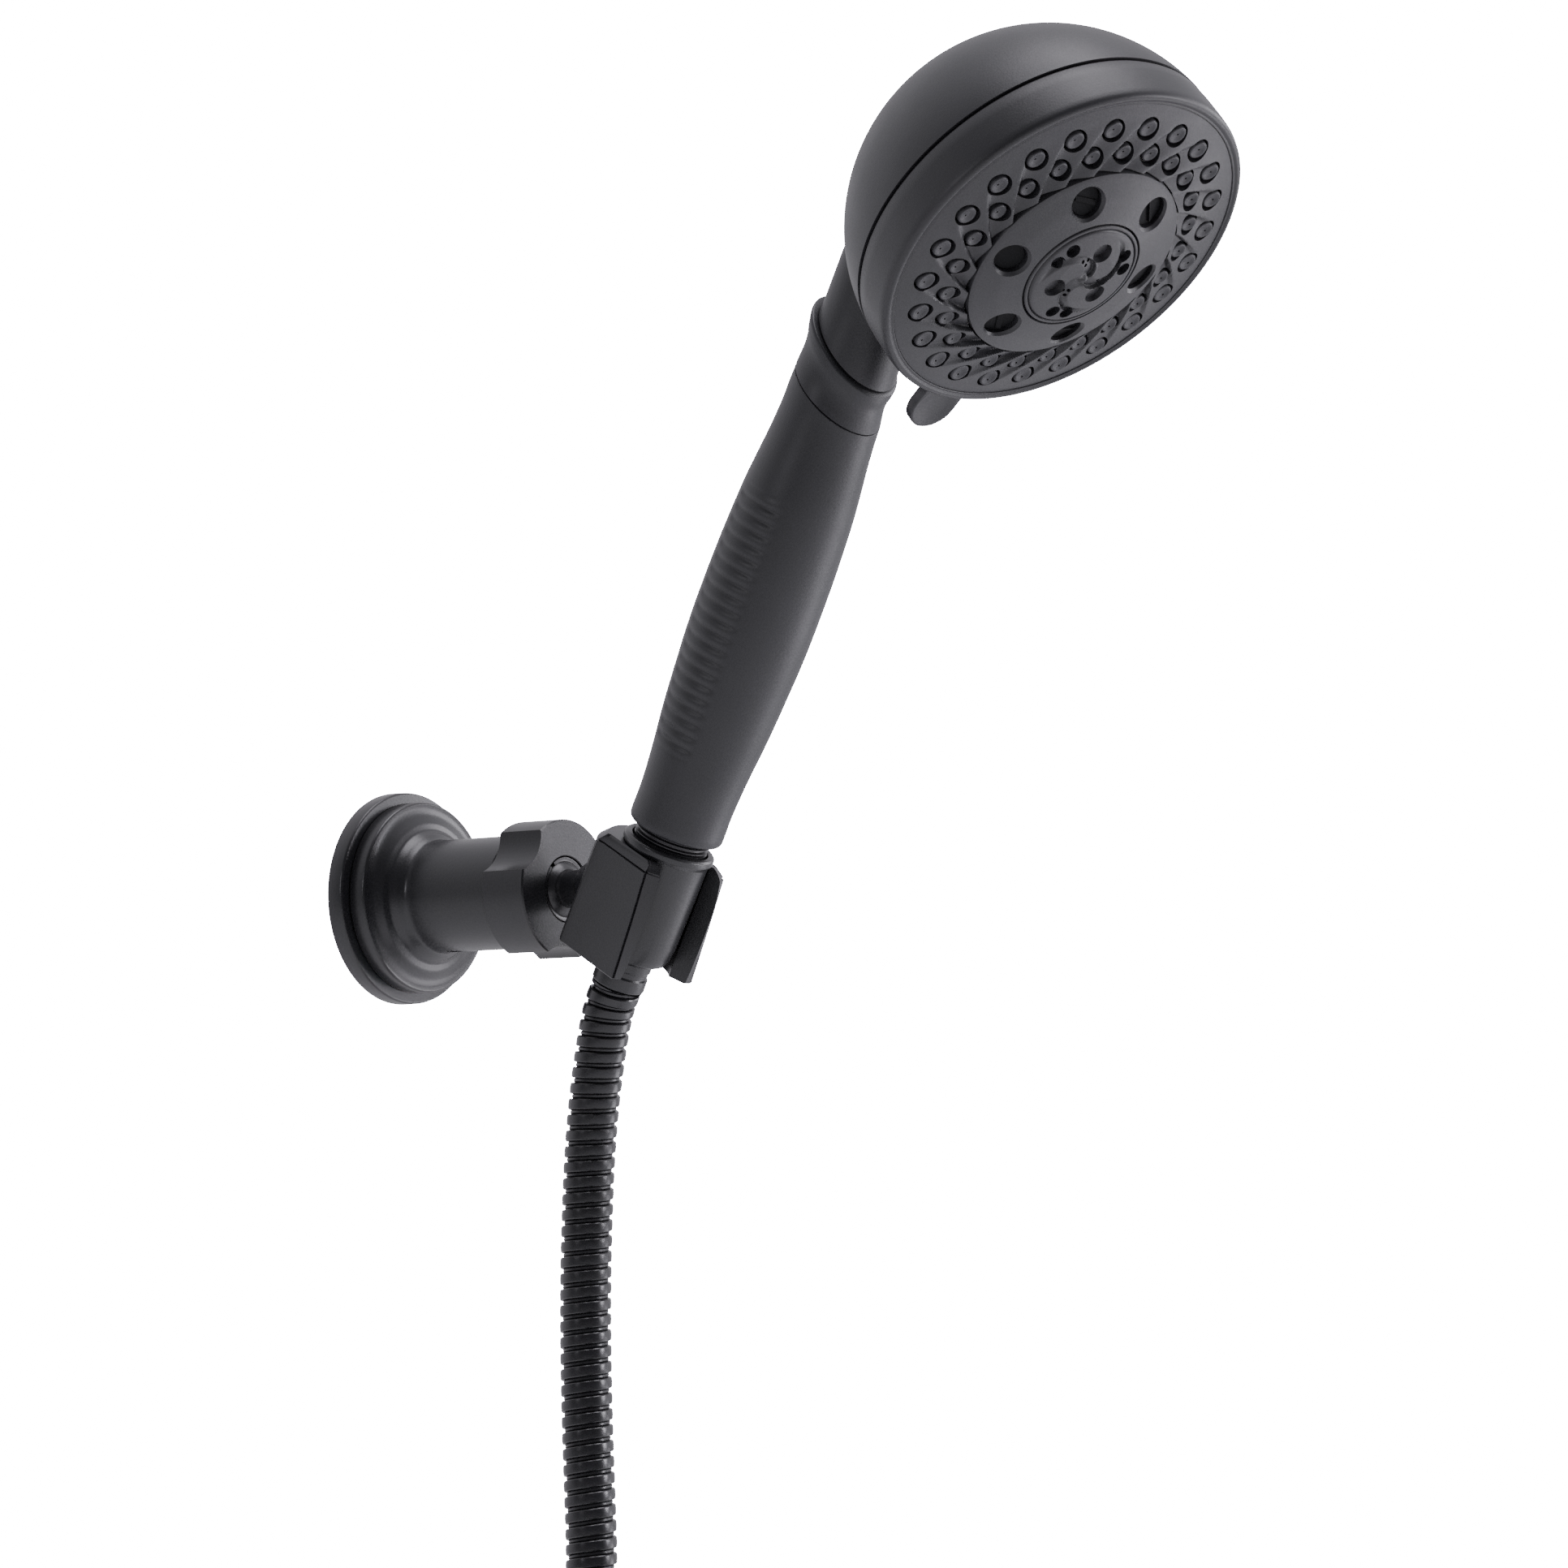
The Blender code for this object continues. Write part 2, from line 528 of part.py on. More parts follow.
def build_head_inside(handle, head, paint):
    """What stays still in the head: elbow, manifold, port seal and detent, and the centre screw."""
    bend = [(0.0, 0.0, 150.4), (0.0, 0.0, 157.0)]
    sweep = 111.34
    for i in range(8):
        a = math.radians(sweep * i / 7)
        bend.append((0.0, -ELBOW_R * (1 - math.cos(a)), 165.0 + ELBOW_R * math.sin(a)))
    a = math.radians(sweep)
    bend.append((0.0, bend[-1][1] - 1.2 * math.sin(a), bend[-1][2] + 1.2 * math.cos(a)))
    elbow = swept("inlet_elbow", bend, 6.2, handle, paint["acetal"], resolution=4)
    before = Vector(bend[0]) * 2 - Vector(bend[1])
    after = Vector(bend[-1]) * 3 - Vector(bend[-2]) * 2
    hollow = swept("elbow_bore", [before] + bend[1:-1] + [after], 4.8, handle, resolution=2)
    combine(elbow, hollow, "DIFFERENCE")
    smooth(elbow)

    top, floor = -14.9, -20.0
    manifold = turned("manifold", [
        (2.3, -10.2), (5.2, -10.2), (5.2, top), (46.2, top), (46.2, floor), (7.0, floor), (7.0, -25.5),
        (2.3, -25.5)], head, paint["acetal"], steps=32)
    inlet_y, port_y, pin_x = -19.0, 25.0, 36.0
    bosses = rods("manifold_bosses", [(0.0, inlet_y, -24.5, floor + 0.5, 8.0, 8.0),
                                      (0.0, port_y, -26.0, floor + 0.5, 6.8, 6.8),
                                      (pin_x, 0.0, -26.0, floor + 0.5, 4.4, 4.4)], head, sides=14)
    combine(manifold, bosses, "UNION")
    pockets = rods("manifold_pockets", [(0.0, inlet_y, -30.0, -10.0, 4.8, 4.8),
                                        (0.0, port_y, -24.6, -10.0, 5.0, 5.0),
                                        (pin_x, 0.0, -24.6, -10.0, 2.4, 2.4)], head, sides=12)
    combine(manifold, pockets, "DIFFERENCE")
    smooth(manifold)

    seal = turned("port_seal", [(2.2, -9.9), (4.6, -9.9), (4.6, -16.0),
        (2.2, -16.0)], head, paint["rubber"],
                  steps=20, at=(0.0, port_y, 0.0))
    smooth(seal)
    seal_spring = swept("port_seal_spring", coil_route(3.7, -23.9, -16.8, 4.0, 8),
        0.4, head, paint["steel"], 0,
                        at=(0.0, port_y, 0.0))
    smooth(seal_spring, 60.0)
    pin = turned("detent_pin", [(0.0, -9.9), (0.9, -10.0), (1.7, -10.6), (2.05, -11.6), (2.05, -18.4),
                                (0.0, -18.4)], head, paint["steel"], closed=False, steps=16,
                 at=(pin_x, 0.0, 0.0))
    smooth(pin)
    pin_spring = swept("detent_spring", coil_route(1.5, -24.1, -19.0, 4.0, 8), 0.3, head, paint["steel"], 0,
                       at=(pin_x, 0.0, 0.0))
    smooth(pin_spring, 60.0)
    ring = turned("spindle_o_ring", arc((6.4, -11.8), 0.75, 90.0, -210.0, 5),
        head, paint["rubber"], steps=20)
    smooth(ring, 60.0)
    screw = turned("centre_screw", [
        (0.0, 4.0), (1.4, 4.0), (1.4, 5.1), (4.2, 5.1), (4.2, 2.3), (2.0, 2.3), (2.0, -24.0), (0.0, -24.0)],
        head, paint["steel"], closed=False, steps=20)
    smooth(screw)


def build_selector(head, paint):
    """What turns with the lever: rim ring, face, nozzles, plate, jets, cap and carrier."""
    back = SEAM_PLANE + FIT_GAP / 2
    rim = turned("selector_ring", [
        (49.85, 0.9), (50.8, 0.9), (51.8, 0.1), (RIM_R, -0.8), (51.6, back), (49.0, back),
        (49.0, -1.8), (49.85, -1.8)], head, paint["shell"], steps=48)
    tongue_tip = -64.0
    half = 7.0
    tongue = outline_prism("lever_tongue", [(half, -49.6), (half, tongue_tip + 5.6)]
                           + arc((0.0, tongue_tip + half), half, 0.0, -180.0, 8)[1:-1]
                           + [(-half, tongue_tip + 5.6), (-half, -49.6)], -4.7, -1.6, head)
    combine(rim, tongue, "UNION")
    dish = rods("lever_dish", [(0.0, 0.0, 0.0, 10.0, 3.6, 9.0)], head, sides=20, at=(0.0, -57.2, -2.4))
    combine(rim, dish, "DIFFERENCE")
    smooth(rim)

    face = turned("spray_face", [
        (30.6, 5.25), (38.0, 3.5), (47.6, 1.0), (FACE_R, 0.1), (FACE_R, -1.3), (47.0, -1.1), (38.0, 1.4),
        (30.6, 3.1)], head, paint["shell"], steps=36)
    outer = ring_spots(NOZZLES, OUTER_NOZZLE_RING, 7.5)
    inner = ring_spots(NOZZLES, INNER_NOZZLE_RING)
    holes = rods("nozzle_holes", [(x, y, -4.0, 8.0, 3.2, 3.2) for x, y in outer]
                 + [(x, y, -4.0, 9.0, 2.8, 2.8) for x, y in inner], head, sides=6)
    combine(face, holes, "DIFFERENCE")
    smooth(face)
    mat = turned("nozzle_mat", [(31.6, -1.7), (46.8, -1.7), (46.8, -3.0), (31.6, -3.0)], head,
                 paint["silicone"], steps=28)
    teats = rods("nozzle_teats", [(x, y, -2.4, 3.5, 2.7, 2.35) for x, y in outer]
                 + [(x, y, -2.4, 5.1, 2.4, 2.05) for x, y in inner], head, sides=6)
    combine(mat, teats, "UNION")
    smooth(mat)

    plate = turned("inner_plate", [
        (16.9, 9.5), (23.5, 7.7), (29.7, 5.6), (PLATE_R, 5.2), (PLATE_R, 3.2), (23.5, 5.5), (16.9, 7.3)],
        head, paint["shell"], steps=30)
    jets = ring_spots(JETS, JET_RING, JET_PHASE)
    jet_holes = rods("jet_holes", [(x, y, 0.0, 12.0, 3.6, 5.0) for x, y in jets], head, sides=10)
    combine(plate, jet_holes, "DIFFERENCE")
    smooth(plate)
    jet_ring = turned("jet_ring", [(17.4, 2.6), (29.6, 2.6), (29.6, 1.4), (19.2, 1.4), (19.2, -3.1),
                                   (17.4, -3.1)], head, paint["silicone"], steps=32)
    cups = rods("jet_cups", [(x, y, 2.0, 4.6, 3.3, 3.3) for x, y in jets], head, sides=8)
    combine(jet_ring, cups, "UNION")
    fins = blocks("jet_fins", [((x, y, 5.2), (5.6, 1.1, 2.4), math.degrees(math.atan2(y, x)) + 60.0, 20.0)
                               for x, y in jets], head)
    combine(jet_ring, fins, "UNION")
    smooth(jet_ring)

    cap = turned("centre_cap", [
        (0.0, 11.4), (7.0, 11.2), (14.0, 10.2), (15.9, 9.7), (CAP_R, 9.2), (CAP_R, 8.3), (9.0, 8.4),
        (9.0, 6.0), (7.4, 6.0), (7.4, 8.6), (0.0, 8.6)], head, paint["shell"], closed=False, steps=28)
    pairs = [35.5 + 120.0 * k + side * 11.5 for k in range(3) for side in (-1, 1)]
    outlets = rods("cap_outlets", [(12.1 * math.cos(math.radians(a)), 12.1 * math.sin(math.radians(a)),
                                    5.0, 14.0, 1.7, 1.7) for a in pairs], head, sides=8)
    combine(cap, outlets, "DIFFERENCE")
    smooth(cap)

    carrier = turned("face_carrier", [
        (2.4, 2.0), (6.0, 2.0), (6.0, -7.0), (16.6, -7.0), (16.6, -3.4), (48.6, -3.4), (48.6, -9.5),
        (10.2, -9.5), (10.2, -12.8), (7.6, -12.8), (7.6, -9.5),
        (2.4, -9.5)], head, paint["acetal"], steps=28)
    ports = rods("carrier_ports", [(x, y, -12.0, 0.0, 2.6, 2.6) for x, y in ring_spots(6, 25.0, 30.0)],
                 head, sides=8)
    combine(carrier, ports, "DIFFERENCE")
    smooth(carrier)

    turbine = turned("turbine_wheel", [(6.4, -3.4), (8.4, -3.4), (8.4, -6.7), (6.4, -6.7)], head,
                     paint["acetal"], steps=24)
    blades = blocks("turbine_blades", [
        ((math.cos(math.radians(a)) * 11.6, math.sin(math.radians(a)) * 11.6, -5.05), (7.4, 1.1, 2.9),
        a, 0.0)
        for a in range(0, 360, 60)], head)
    combine(turbine, blades, "UNION")
    smooth(turbine)


def build_hose(swivel, paint):
    """The hose's free run, the coil that the rest is wound in, its ties and its far connector."""
    start = Vector(HOSE_ROUTE[0])
    hinge = frame("hose_frame", HOSE_ROUTE[0], parent=swivel)
    lean = math.radians(HANDLE_LEAN)
    straight = start + Vector((0.0, math.sin(lean), -math.cos(lean))) * 1.5
    route = [Vector()] + [spot - start for spot in smooth_route([straight] + HOSE_ROUTE[1:], 14.0)]
    run = swept("hose_run", route, HOSE_R, hinge, paint["hose"], resolution=3)
    smooth(run, 50.0)
    middle = Vector(COIL_CENTRE) - start
    outer, inner, half = COIL_R + 7.0, COIL_R - 7.0, COIL_HALF_WIDTH
    coil = turned("hose_coil", [
        (inner + 2.5, half), (outer - 2.5, half), (outer, half - 2.5), (outer, 2.5 - half),
        (outer - 2.5, -half), (inner + 2.5, -half), (inner, 2.5 - half), (inner, half - 2.5)],
        hinge, paint["hose"], steps=40, at=middle, turn=(0.0, 90.0, 0.0))
    smooth(coil, 50.0)

    def tie(name, angle):
        spot = middle + Vector((0.0, math.cos(math.radians(angle)), math.sin(math.radians(angle)))) * COIL_R
        band = blocks(name, [((0.0, 0.0, 0.0), (2 * half + 3.6, 10.0, 18.0),
            0.0, 0.0)], hinge, paint["tie"],
                      at=spot, turn=(angle - 90.0, 0.0, 0.0))
        hole = blocks(name + "_hole", [((0.0, 0.0, 0.0), (2 * half + 1.0, 30.0, 15.4), 0.0, 0.0)], hinge,
                      at=spot, turn=(angle - 90.0, 0.0, 0.0))
        combine(band, hole, "DIFFERENCE")

    tie("hose_tie_upper", 62.0)
    tie("hose_tie_lower", 270.0)

    meet = math.sqrt((COIL_R + 7.0) ** 2 - (COIL_R - HOSE_R) ** 2) + FIT_GAP
    end = frame("hose_end_frame", middle + Vector((STRAND_PITCH, -COIL_R, meet)), parent=hinge)
    tail = swept("hose_tail", [(0.0, 0.0, 0.0), (0.0, 0.0, TAIL_LENGTH)], HOSE_R, end, paint["hose"],
                 resolution=4)
    smooth(tail, 50.0)
    low = TAIL_LENGTH + FIT_GAP
    ferrule = turned("end_ferrule", [
        (4.4, low + 22.0), (9.2, low + 22.0), (9.2, low + 19.4), (FERRULE_R, low + 19.4),
        (FERRULE_R, low + 0.4), (7.0, low), (4.4, low)], end, paint["metal"], steps=28)
    smooth(ferrule)
    nut = turned("end_nut", [
        (10.8, low + 32.0), (END_NUT_R + 0.6, low + 32.0), (END_NUT_R + 1.2, low + 31.2),
        (END_NUT_R + 1.2, low + 17.8), (END_NUT_R + 0.4, low + 16.6), (7.7, low + 16.6),
        (7.7, low + 19.0), (10.8, low + 19.0)], end, paint["metal"], steps=30)
    flats = blocks("end_nut_flats", [
        ((math.cos(math.radians(a)) * (END_NUT_R + 5.0), math.sin(math.radians(a)) * (END_NUT_R + 5.0),
          low + 24.0), (10.0, 40.0, 24.0), a, 0.0) for a in range(0, 360, 60)], end)
    combine(nut, flats, "DIFFERENCE")
    smooth(nut, 25.0)
    washer = turned("end_washer", [(5.2, low + 24.4), (10.2, low + 24.4), (10.2, low + 22.4),
                                   (5.2, low + 22.4)], end, paint["rubber"], steps=22)
    smooth(washer)


def main():
    clear_scene()
    paint = paints()
    build_wall_holder(paint)
    swivel = frame("swivel_frame", (0.0, -BALL_DEPTH, 0.0), (0.0, 0.0, PAN))
    handle = frame("handle_frame", HANDLE_FOOT, (HANDLE_LEAN, 0.0, 0.0), swivel)
    head = frame("head_frame", FACE_CENTRE, (90.0 + FACE_LEAN, 0.0, 0.0), swivel)
    bpy.context.view_layer.update()
    stem = build_ball_joint(swivel, paint)
    build_clip(handle, stem, paint)
    build_hose_end(handle, paint)
    build_handle(handle, paint)
    build_collar(handle, paint)
    build_back_shell(handle, head, paint)
    build_head_inside(handle, head, paint)
    build_selector(head, paint)
    build_hose(swivel, paint)


main()
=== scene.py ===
"""Looks of the hand shower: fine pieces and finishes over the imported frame.

Lengths are millimetres in each piece's own frame, and MM turns them into metres.
"""

import json
import math

import bmesh
import bpy
from mathutils import Matrix, Vector


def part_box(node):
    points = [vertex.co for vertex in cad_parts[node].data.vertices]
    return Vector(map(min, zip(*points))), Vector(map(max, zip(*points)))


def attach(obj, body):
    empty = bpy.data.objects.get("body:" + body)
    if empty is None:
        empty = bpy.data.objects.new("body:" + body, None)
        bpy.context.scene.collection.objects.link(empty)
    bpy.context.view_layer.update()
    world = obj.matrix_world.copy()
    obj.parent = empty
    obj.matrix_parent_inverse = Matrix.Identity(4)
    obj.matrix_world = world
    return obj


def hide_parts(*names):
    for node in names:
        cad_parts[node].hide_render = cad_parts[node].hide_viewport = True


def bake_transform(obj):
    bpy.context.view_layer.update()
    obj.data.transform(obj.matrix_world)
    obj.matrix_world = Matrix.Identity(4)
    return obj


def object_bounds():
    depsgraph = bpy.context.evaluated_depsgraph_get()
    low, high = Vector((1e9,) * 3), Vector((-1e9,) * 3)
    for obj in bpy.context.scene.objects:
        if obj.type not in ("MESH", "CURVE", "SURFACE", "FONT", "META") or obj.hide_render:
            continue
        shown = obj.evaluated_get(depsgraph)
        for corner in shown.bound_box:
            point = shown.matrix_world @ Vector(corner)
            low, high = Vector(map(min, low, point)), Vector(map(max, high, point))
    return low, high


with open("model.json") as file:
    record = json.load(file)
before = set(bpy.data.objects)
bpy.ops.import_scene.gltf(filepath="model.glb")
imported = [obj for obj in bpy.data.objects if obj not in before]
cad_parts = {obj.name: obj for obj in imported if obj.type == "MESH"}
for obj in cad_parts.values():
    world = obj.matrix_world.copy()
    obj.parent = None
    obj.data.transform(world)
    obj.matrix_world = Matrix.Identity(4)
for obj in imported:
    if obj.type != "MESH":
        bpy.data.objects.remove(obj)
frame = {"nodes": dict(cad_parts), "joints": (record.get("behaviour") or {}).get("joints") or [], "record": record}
CAD_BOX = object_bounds()
MM = 0.001
JOINT = {joint["name"]: joint for joint in frame["joints"]}
CORD_NODES = ("hose_run", "hose_coil", "hose_tail")

# Camera at the photograph's place and angle, in metres and degrees
CAMERA_SPOT = (-1.1144, -0.9774, -0.1093)
CAMERA_BEARING = -52.98
CAMERA_RISE = -5.49
CAMERA_LENS = 120.08        # for a sensor 36 mm wide
FLOOR_DROP = 0.25           # from the lowest point of the object
BACKDROP = 24.0             # brightness of the white that the camera sees behind the object
STUDIO_TINT = (0.955, 0.935, 1.0)
LIGHT_TARGET = (0.0, -0.12, 0.03)
# Round lamps: name, place, diameter, watts
LIGHTS = (("key", (0.1, -0.5, 2.1), 1.5, 25.0), ("left", (-2.1, 0.05, 0.5), 0.25, 4.6),
          ("side", (0.95, -1.75, 0.2), 0.5, 12.0), ("right", (1.7, -0.9, 0.6), 0.9, 10.0),
          ("below", (1.1, -0.9, -0.5), 0.7, 5.0))

LOWER_SEAM = 127.5          # heights of the collar's seams on the handle's axis
UPPER_SEAM = 142.0
SEAM_GAP = 0.08
LOWER_SLOPE = 0.45          # and how steeply they fall toward the front
UPPER_SLOPE = 0.625
HANDLE_BORE = 11.3
DOME_R = 51.94
DOME_CENTRE = -8.28
DOME_WALL = 2.0
SEAM_PLANE = -13.6          # between the dome and the selector ring
NECK_R = 12.25
NECK_FOOT_R = 13.15
NECK_FOOT = 131.0
NECK_TOP = 163.0            # where the straight neck turns into its bend
NECK_BEND = 66.0            # degrees
GOOSE_R = 22.0
FILLET = 5.0
FACE_OUT = 48.85
FACE_IN = 30.65
CAP_EDGE = 16.2
NOZZLES = 24
OUTER_RING = 42.2
INNER_RING = 35.4
OUTER_PHASE = 7.5           # degrees from the inner ring's nozzles to the outer ring's
JETS = 6
JET_RING = 23.5
JET_PHASE = 3.2
JET_R = 4.25
HOSE_PITCH = 4.3
COIL_R = 75.0
COIL_CENTRE = (0.0, -93.2, -290.0)
COIL_TURNS = 2.5
STRAND = 14.3               # from one turn of the coil to the next
# Hose centre line from its ferrule to where it joins the coil, from the ball centre
HOSE_ROUTE = [
    (0.0, -27.03, -27.39), (0.0, -26.3, -28.7), (0.0, -24.2, -32.5), (0.0, -22.2, -38.4), (0.0, -20.0, -48.0),
    (0.0, -17.9, -60.0), (0.0, -16.2, -76.0), (0.0, -15.2, -96.0), (0.0, -14.9, -112.0), (0.0, -15.1, -128.0),
    (0.0, -15.8, -147.0), (0.0, -16.8, -165.0), (0.0, -17.6, -182.0), (-1.2, -18.1, -196.0),
    (-5.4, -18.2, -210.0), (-10.4, -18.2, -223.0), (-13.6, -18.2, -235.0), (-14.3, -18.2, -243.3),
]


def basis(origin, side, up):
    """A frame at a point, from its X and Z directions."""
    side, up = Vector(side).normalized(), Vector(up).normalized()
    turn = Matrix((side, up.cross(side), up)).transposed().to_4x4()
    return Matrix.Translation(Vector(origin)) @ turn


def frames():
    """Where each group of pieces sits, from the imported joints."""
    side = Vector(JOINT["holder_tilt"]["axis"])
    ball = Vector(JOINT["holder_tilt"]["pos_m"])
    along = Vector(JOINT["handset_swivel"]["axis"])
    foot = Vector(JOINT["handset_swivel"]["pos_m"]) + along * 20.0 * MM
    return {
        "wall": basis((0, 0, 0), (1, 0, 0), (0, -1, 0)),
        "nut": basis(ball, (1, 0, 0), (0, -1, 0)),
        "stem": basis(ball, side, JOINT["holder_roll"]["axis"]),
        "swivel": basis(ball, side, (0, 0, 1)),
        "handle": basis(foot, side, along),
        "head": basis(JOINT["spray_selector"]["pos_m"], side, JOINT["spray_selector"]["axis"]),
    }


AT = frames()


# ---------------------------------------------------------------- camera, floor and light

def build_stage():
    """A pale floor, soft studio lights, and the camera at the photograph's angle."""
    camera = bpy.data.objects.new("camera", bpy.data.cameras.new("camera"))
    camera.data.lens = CAMERA_LENS
    camera.data.sensor_width = 36.0
    camera.data.clip_start = 0.1
    camera.data.clip_end = 20.0
    camera.location = CAMERA_SPOT
    camera.rotation_euler = (math.pi / 2 - math.radians(CAMERA_RISE), 0.0, math.radians(CAMERA_BEARING))
    bpy.context.scene.collection.objects.link(camera)
    bpy.context.scene.camera = camera

    shape = bmesh.new()
    bmesh.ops.create_grid(shape, x_segments=2, y_segments=2, size=4.0)
    mesh = bpy.data.meshes.new("floor")
    shape.to_mesh(mesh)
    shape.free()
    floor = bpy.data.objects.new("floor", mesh)
    floor.location = (0.0, 0.0, CAD_BOX[0][2] - FLOOR_DROP)
    bpy.context.scene.collection.objects.link(floor)
    mesh.materials.append(plain_white())

    bpy.context.scene.world = studio_world(camera.matrix_basis.to_3x3() @ Vector((0.0, 0.0, 1.0)))
    for name, spot, size, power in LIGHTS:
        light = bpy.data.objects.new(name, bpy.data.lights.new(name, "AREA"))
        light.data.shape = "DISK"
        light.data.size = size
        light.data.energy = power
        light.data.color = STUDIO_TINT
        light.location = spot
        light.rotation_euler = (Vector(LIGHT_TARGET) - Vector(spot)).to_track_quat("-Z", "Y").to_euler()
        bpy.context.scene.collection.objects.link(light)


def studio_world(dim_side):
    """A white studio, darker on the side the photographer stands on."""
    world = bpy.data.worlds.new("studio")
    world.use_nodes = True
    tree = world.node_tree
    sky = tree.nodes["Background"]
    sky.inputs["Color"].default_value = (*STUDIO_TINT, 1.0)
    spot = tree.nodes.new("ShaderNodeTexCoord")
    toward = tree.nodes.new("ShaderNodeVectorMath")
    toward.operation = "DOT_PRODUCT"
    toward.inputs[1].default_value = dim_side
    tree.links.new(spot.outputs["Generated"], toward.inputs[0])
    fade = tree.nodes.new("ShaderNodeMapRange")
    fade.interpolation_type = "SMOOTHSTEP"
    for name, value in (("From Min", -0.25), ("From Max", 0.65), ("To Min", 0.92), ("To Max", 0.08)):
        fade.inputs[name].default_value = value
    tree.links.new(toward.outputs["Value"], fade.inputs["Value"])
    seen = tree.nodes.new("ShaderNodeLightPath")
    pick = tree.nodes.new("ShaderNodeMix")
    pick.inputs["B"].default_value = BACKDROP
    tree.links.new(seen.outputs["Is Camera Ray"], pick.inputs["Factor"])
    tree.links.new(fade.outputs["Result"], pick.inputs["A"])
    tree.links.new(pick.outputs["Result"], sky.inputs["Strength"])
    return world


def plain_white():
    """The floor's matt white."""
    made = bpy.data.materials.new("studio_white")
    made.use_nodes = True
    made.node_tree.nodes["Principled BSDF"].inputs["Base Color"].default_value = (0.9, 0.9, 0.9, 1.0)
    made.node_tree.nodes["Principled BSDF"].inputs["Roughness"].default_value = 0.9
    return made


# ---------------------------------------------------------------- finishes

def finish(name, dark, light, rough, spread, grain, depth, metallic=0.0, specular=0.5, stretch=1.0):
    """A name and its procedural finish: cloudy colour between two tones, uneven roughness and a fine grain,
    which may be stretched along Z."""
    made = bpy.data.materials.new(name)
    made.use_nodes = True
    tree = made.node_tree
    shader = tree.nodes["Principled BSDF"]
    shader.inputs["Metallic"].default_value = metallic
    shader.inputs["Specular IOR Level"].default_value = specular
    spot = tree.nodes.new("ShaderNodeTexCoord")
    place = tree.nodes.new("ShaderNodeMapping")
    place.inputs["Scale"].default_value = (1.0, 1.0, stretch)
    tree.links.new(spot.outputs["Object"], place.inputs["Vector"])

    def noise(scale, detail):
        node = tree.nodes.new("ShaderNodeTexNoise")
        node.inputs["Scale"].default_value = scale
        node.inputs["Detail"].default_value = detail
        tree.links.new(place.outputs["Vector"], node.inputs["Vector"])
        return node

    cloud = noise(28.0, 4.0)
    tone = tree.nodes.new("ShaderNodeValToRGB")
    tone.color_ramp.elements[0].position = 0.3
    tone.color_ramp.elements[0].color = (*dark, 1.0)
    tone.color_ramp.elements[1].position = 0.7
    tone.color_ramp.elements[1].color = (*light, 1.0)
    tree.links.new(cloud.outputs["Fac"], tone.inputs["Fac"])
    tree.links.new(tone.outputs["Color"], shader.inputs["Base Color"])
    gloss = tree.nodes.new("ShaderNodeMapRange")
    gloss.inputs["To Min"].default_value = rough - spread
    gloss.inputs["To Max"].default_value = rough + spread
    tree.links.new(noise(90.0, 3.0).outputs["Fac"], gloss.inputs["Value"])
    tree.links.new(gloss.outputs["Result"], shader.inputs["Roughness"])
    bump = tree.nodes.new("ShaderNodeBump")
    bump.inputs["Strength"].default_value = depth
    bump.inputs["Distance"].default_value = 0.0001
    tree.links.new(noise(grain, 2.0).outputs["Fac"], bump.inputs["Height"])
    tree.links.new(bump.outputs["Normal"], shader.inputs["Normal"])
    return name, made


def finishes():
    """Every finish of the object, by the record's slot names and a few more."""
    return dict((
        finish("shell", (0.018, 0.018, 0.021), (0.024, 0.024, 0.028), 0.44, 0.05, 2600.0, 0.35, specular=0.58),
        finish("metal", (0.015, 0.015, 0.017), (0.021, 0.021, 0.024), 0.31, 0.05, 2000.0, 0.3, 0.1, 0.72),
        finish("clip", (0.016, 0.016, 0.018), (0.021, 0.021, 0.024), 0.34, 0.05, 2200.0, 0.3, specular=0.62),
        finish("hose", (0.014, 0.014, 0.016), (0.021, 0.021, 0.024), 0.27, 0.05, 1800.0, 0.25, 0.2, 0.8),
        finish("silicone", (0.026, 0.026, 0.030), (0.034, 0.034, 0.039), 0.5, 0.06, 2400.0, 0.3),
        # dark: painted shade, a near-black with little sheen for the pieces behind the face's holes, so the holes
        # read as shaded inside
        finish("dark", (0.005, 0.005, 0.006), (0.009, 0.009, 0.010), 0.6, 0.08, 2000.0, 0.2, specular=0.12),
        finish("rubber", (0.016, 0.016, 0.017), (0.026, 0.026, 0.027), 0.7, 0.08, 1500.0, 0.5),
        finish("acetal", (0.62, 0.62, 0.58), (0.74, 0.74, 0.70), 0.45, 0.06, 1200.0, 0.2),
        finish("brass", (0.52, 0.36, 0.13), (0.66, 0.48, 0.20), 0.3, 0.08, 900.0, 0.3, 1.0),
        finish("steel", (0.45, 0.45, 0.46), (0.6, 0.6, 0.62), 0.28, 0.06, 1400.0, 0.2, 1.0),
        finish("tie", (0.020, 0.020, 0.022), (0.045, 0.045, 0.048), 0.85, 0.1, 3200.0, 1.0, stretch=3.0)))


PAINT = finishes()


# ---------------------------------------------------------------- mesh tools

def rounded(profile, radius, steps=3, loop=True):
    """A profile with its corners rounded by up to the radius; round stretches are left alone."""
    points = [Vector((x, y)) for x, y in profile]
    made = []
    for i, here in enumerate(points):
        if not loop and i in (0, len(points) - 1):
            made.append(here)
            continue
        before, after = points[i - 1], points[(i + 1) % len(points)]
        back, ahead = before - here, after - here
        bend = math.pi - back.angle(ahead, 0.0)
        if bend < math.radians(24.0) or min(back.length, ahead.length) < 1e-4:
            made.append(here)
            continue
        reach = min(radius * math.tan(bend / 2), back.length * 0.45, ahead.length * 0.45)
        start, stop = here + back.normalized() * reach, here + ahead.normalized() * reach
        for k in range(steps + 1):
            t = k / steps
            made.append(start * (1 - t) ** 2 + here * 2 * t * (1 - t) + stop * t ** 2)
    return [(p.x, p.y) for p in made]


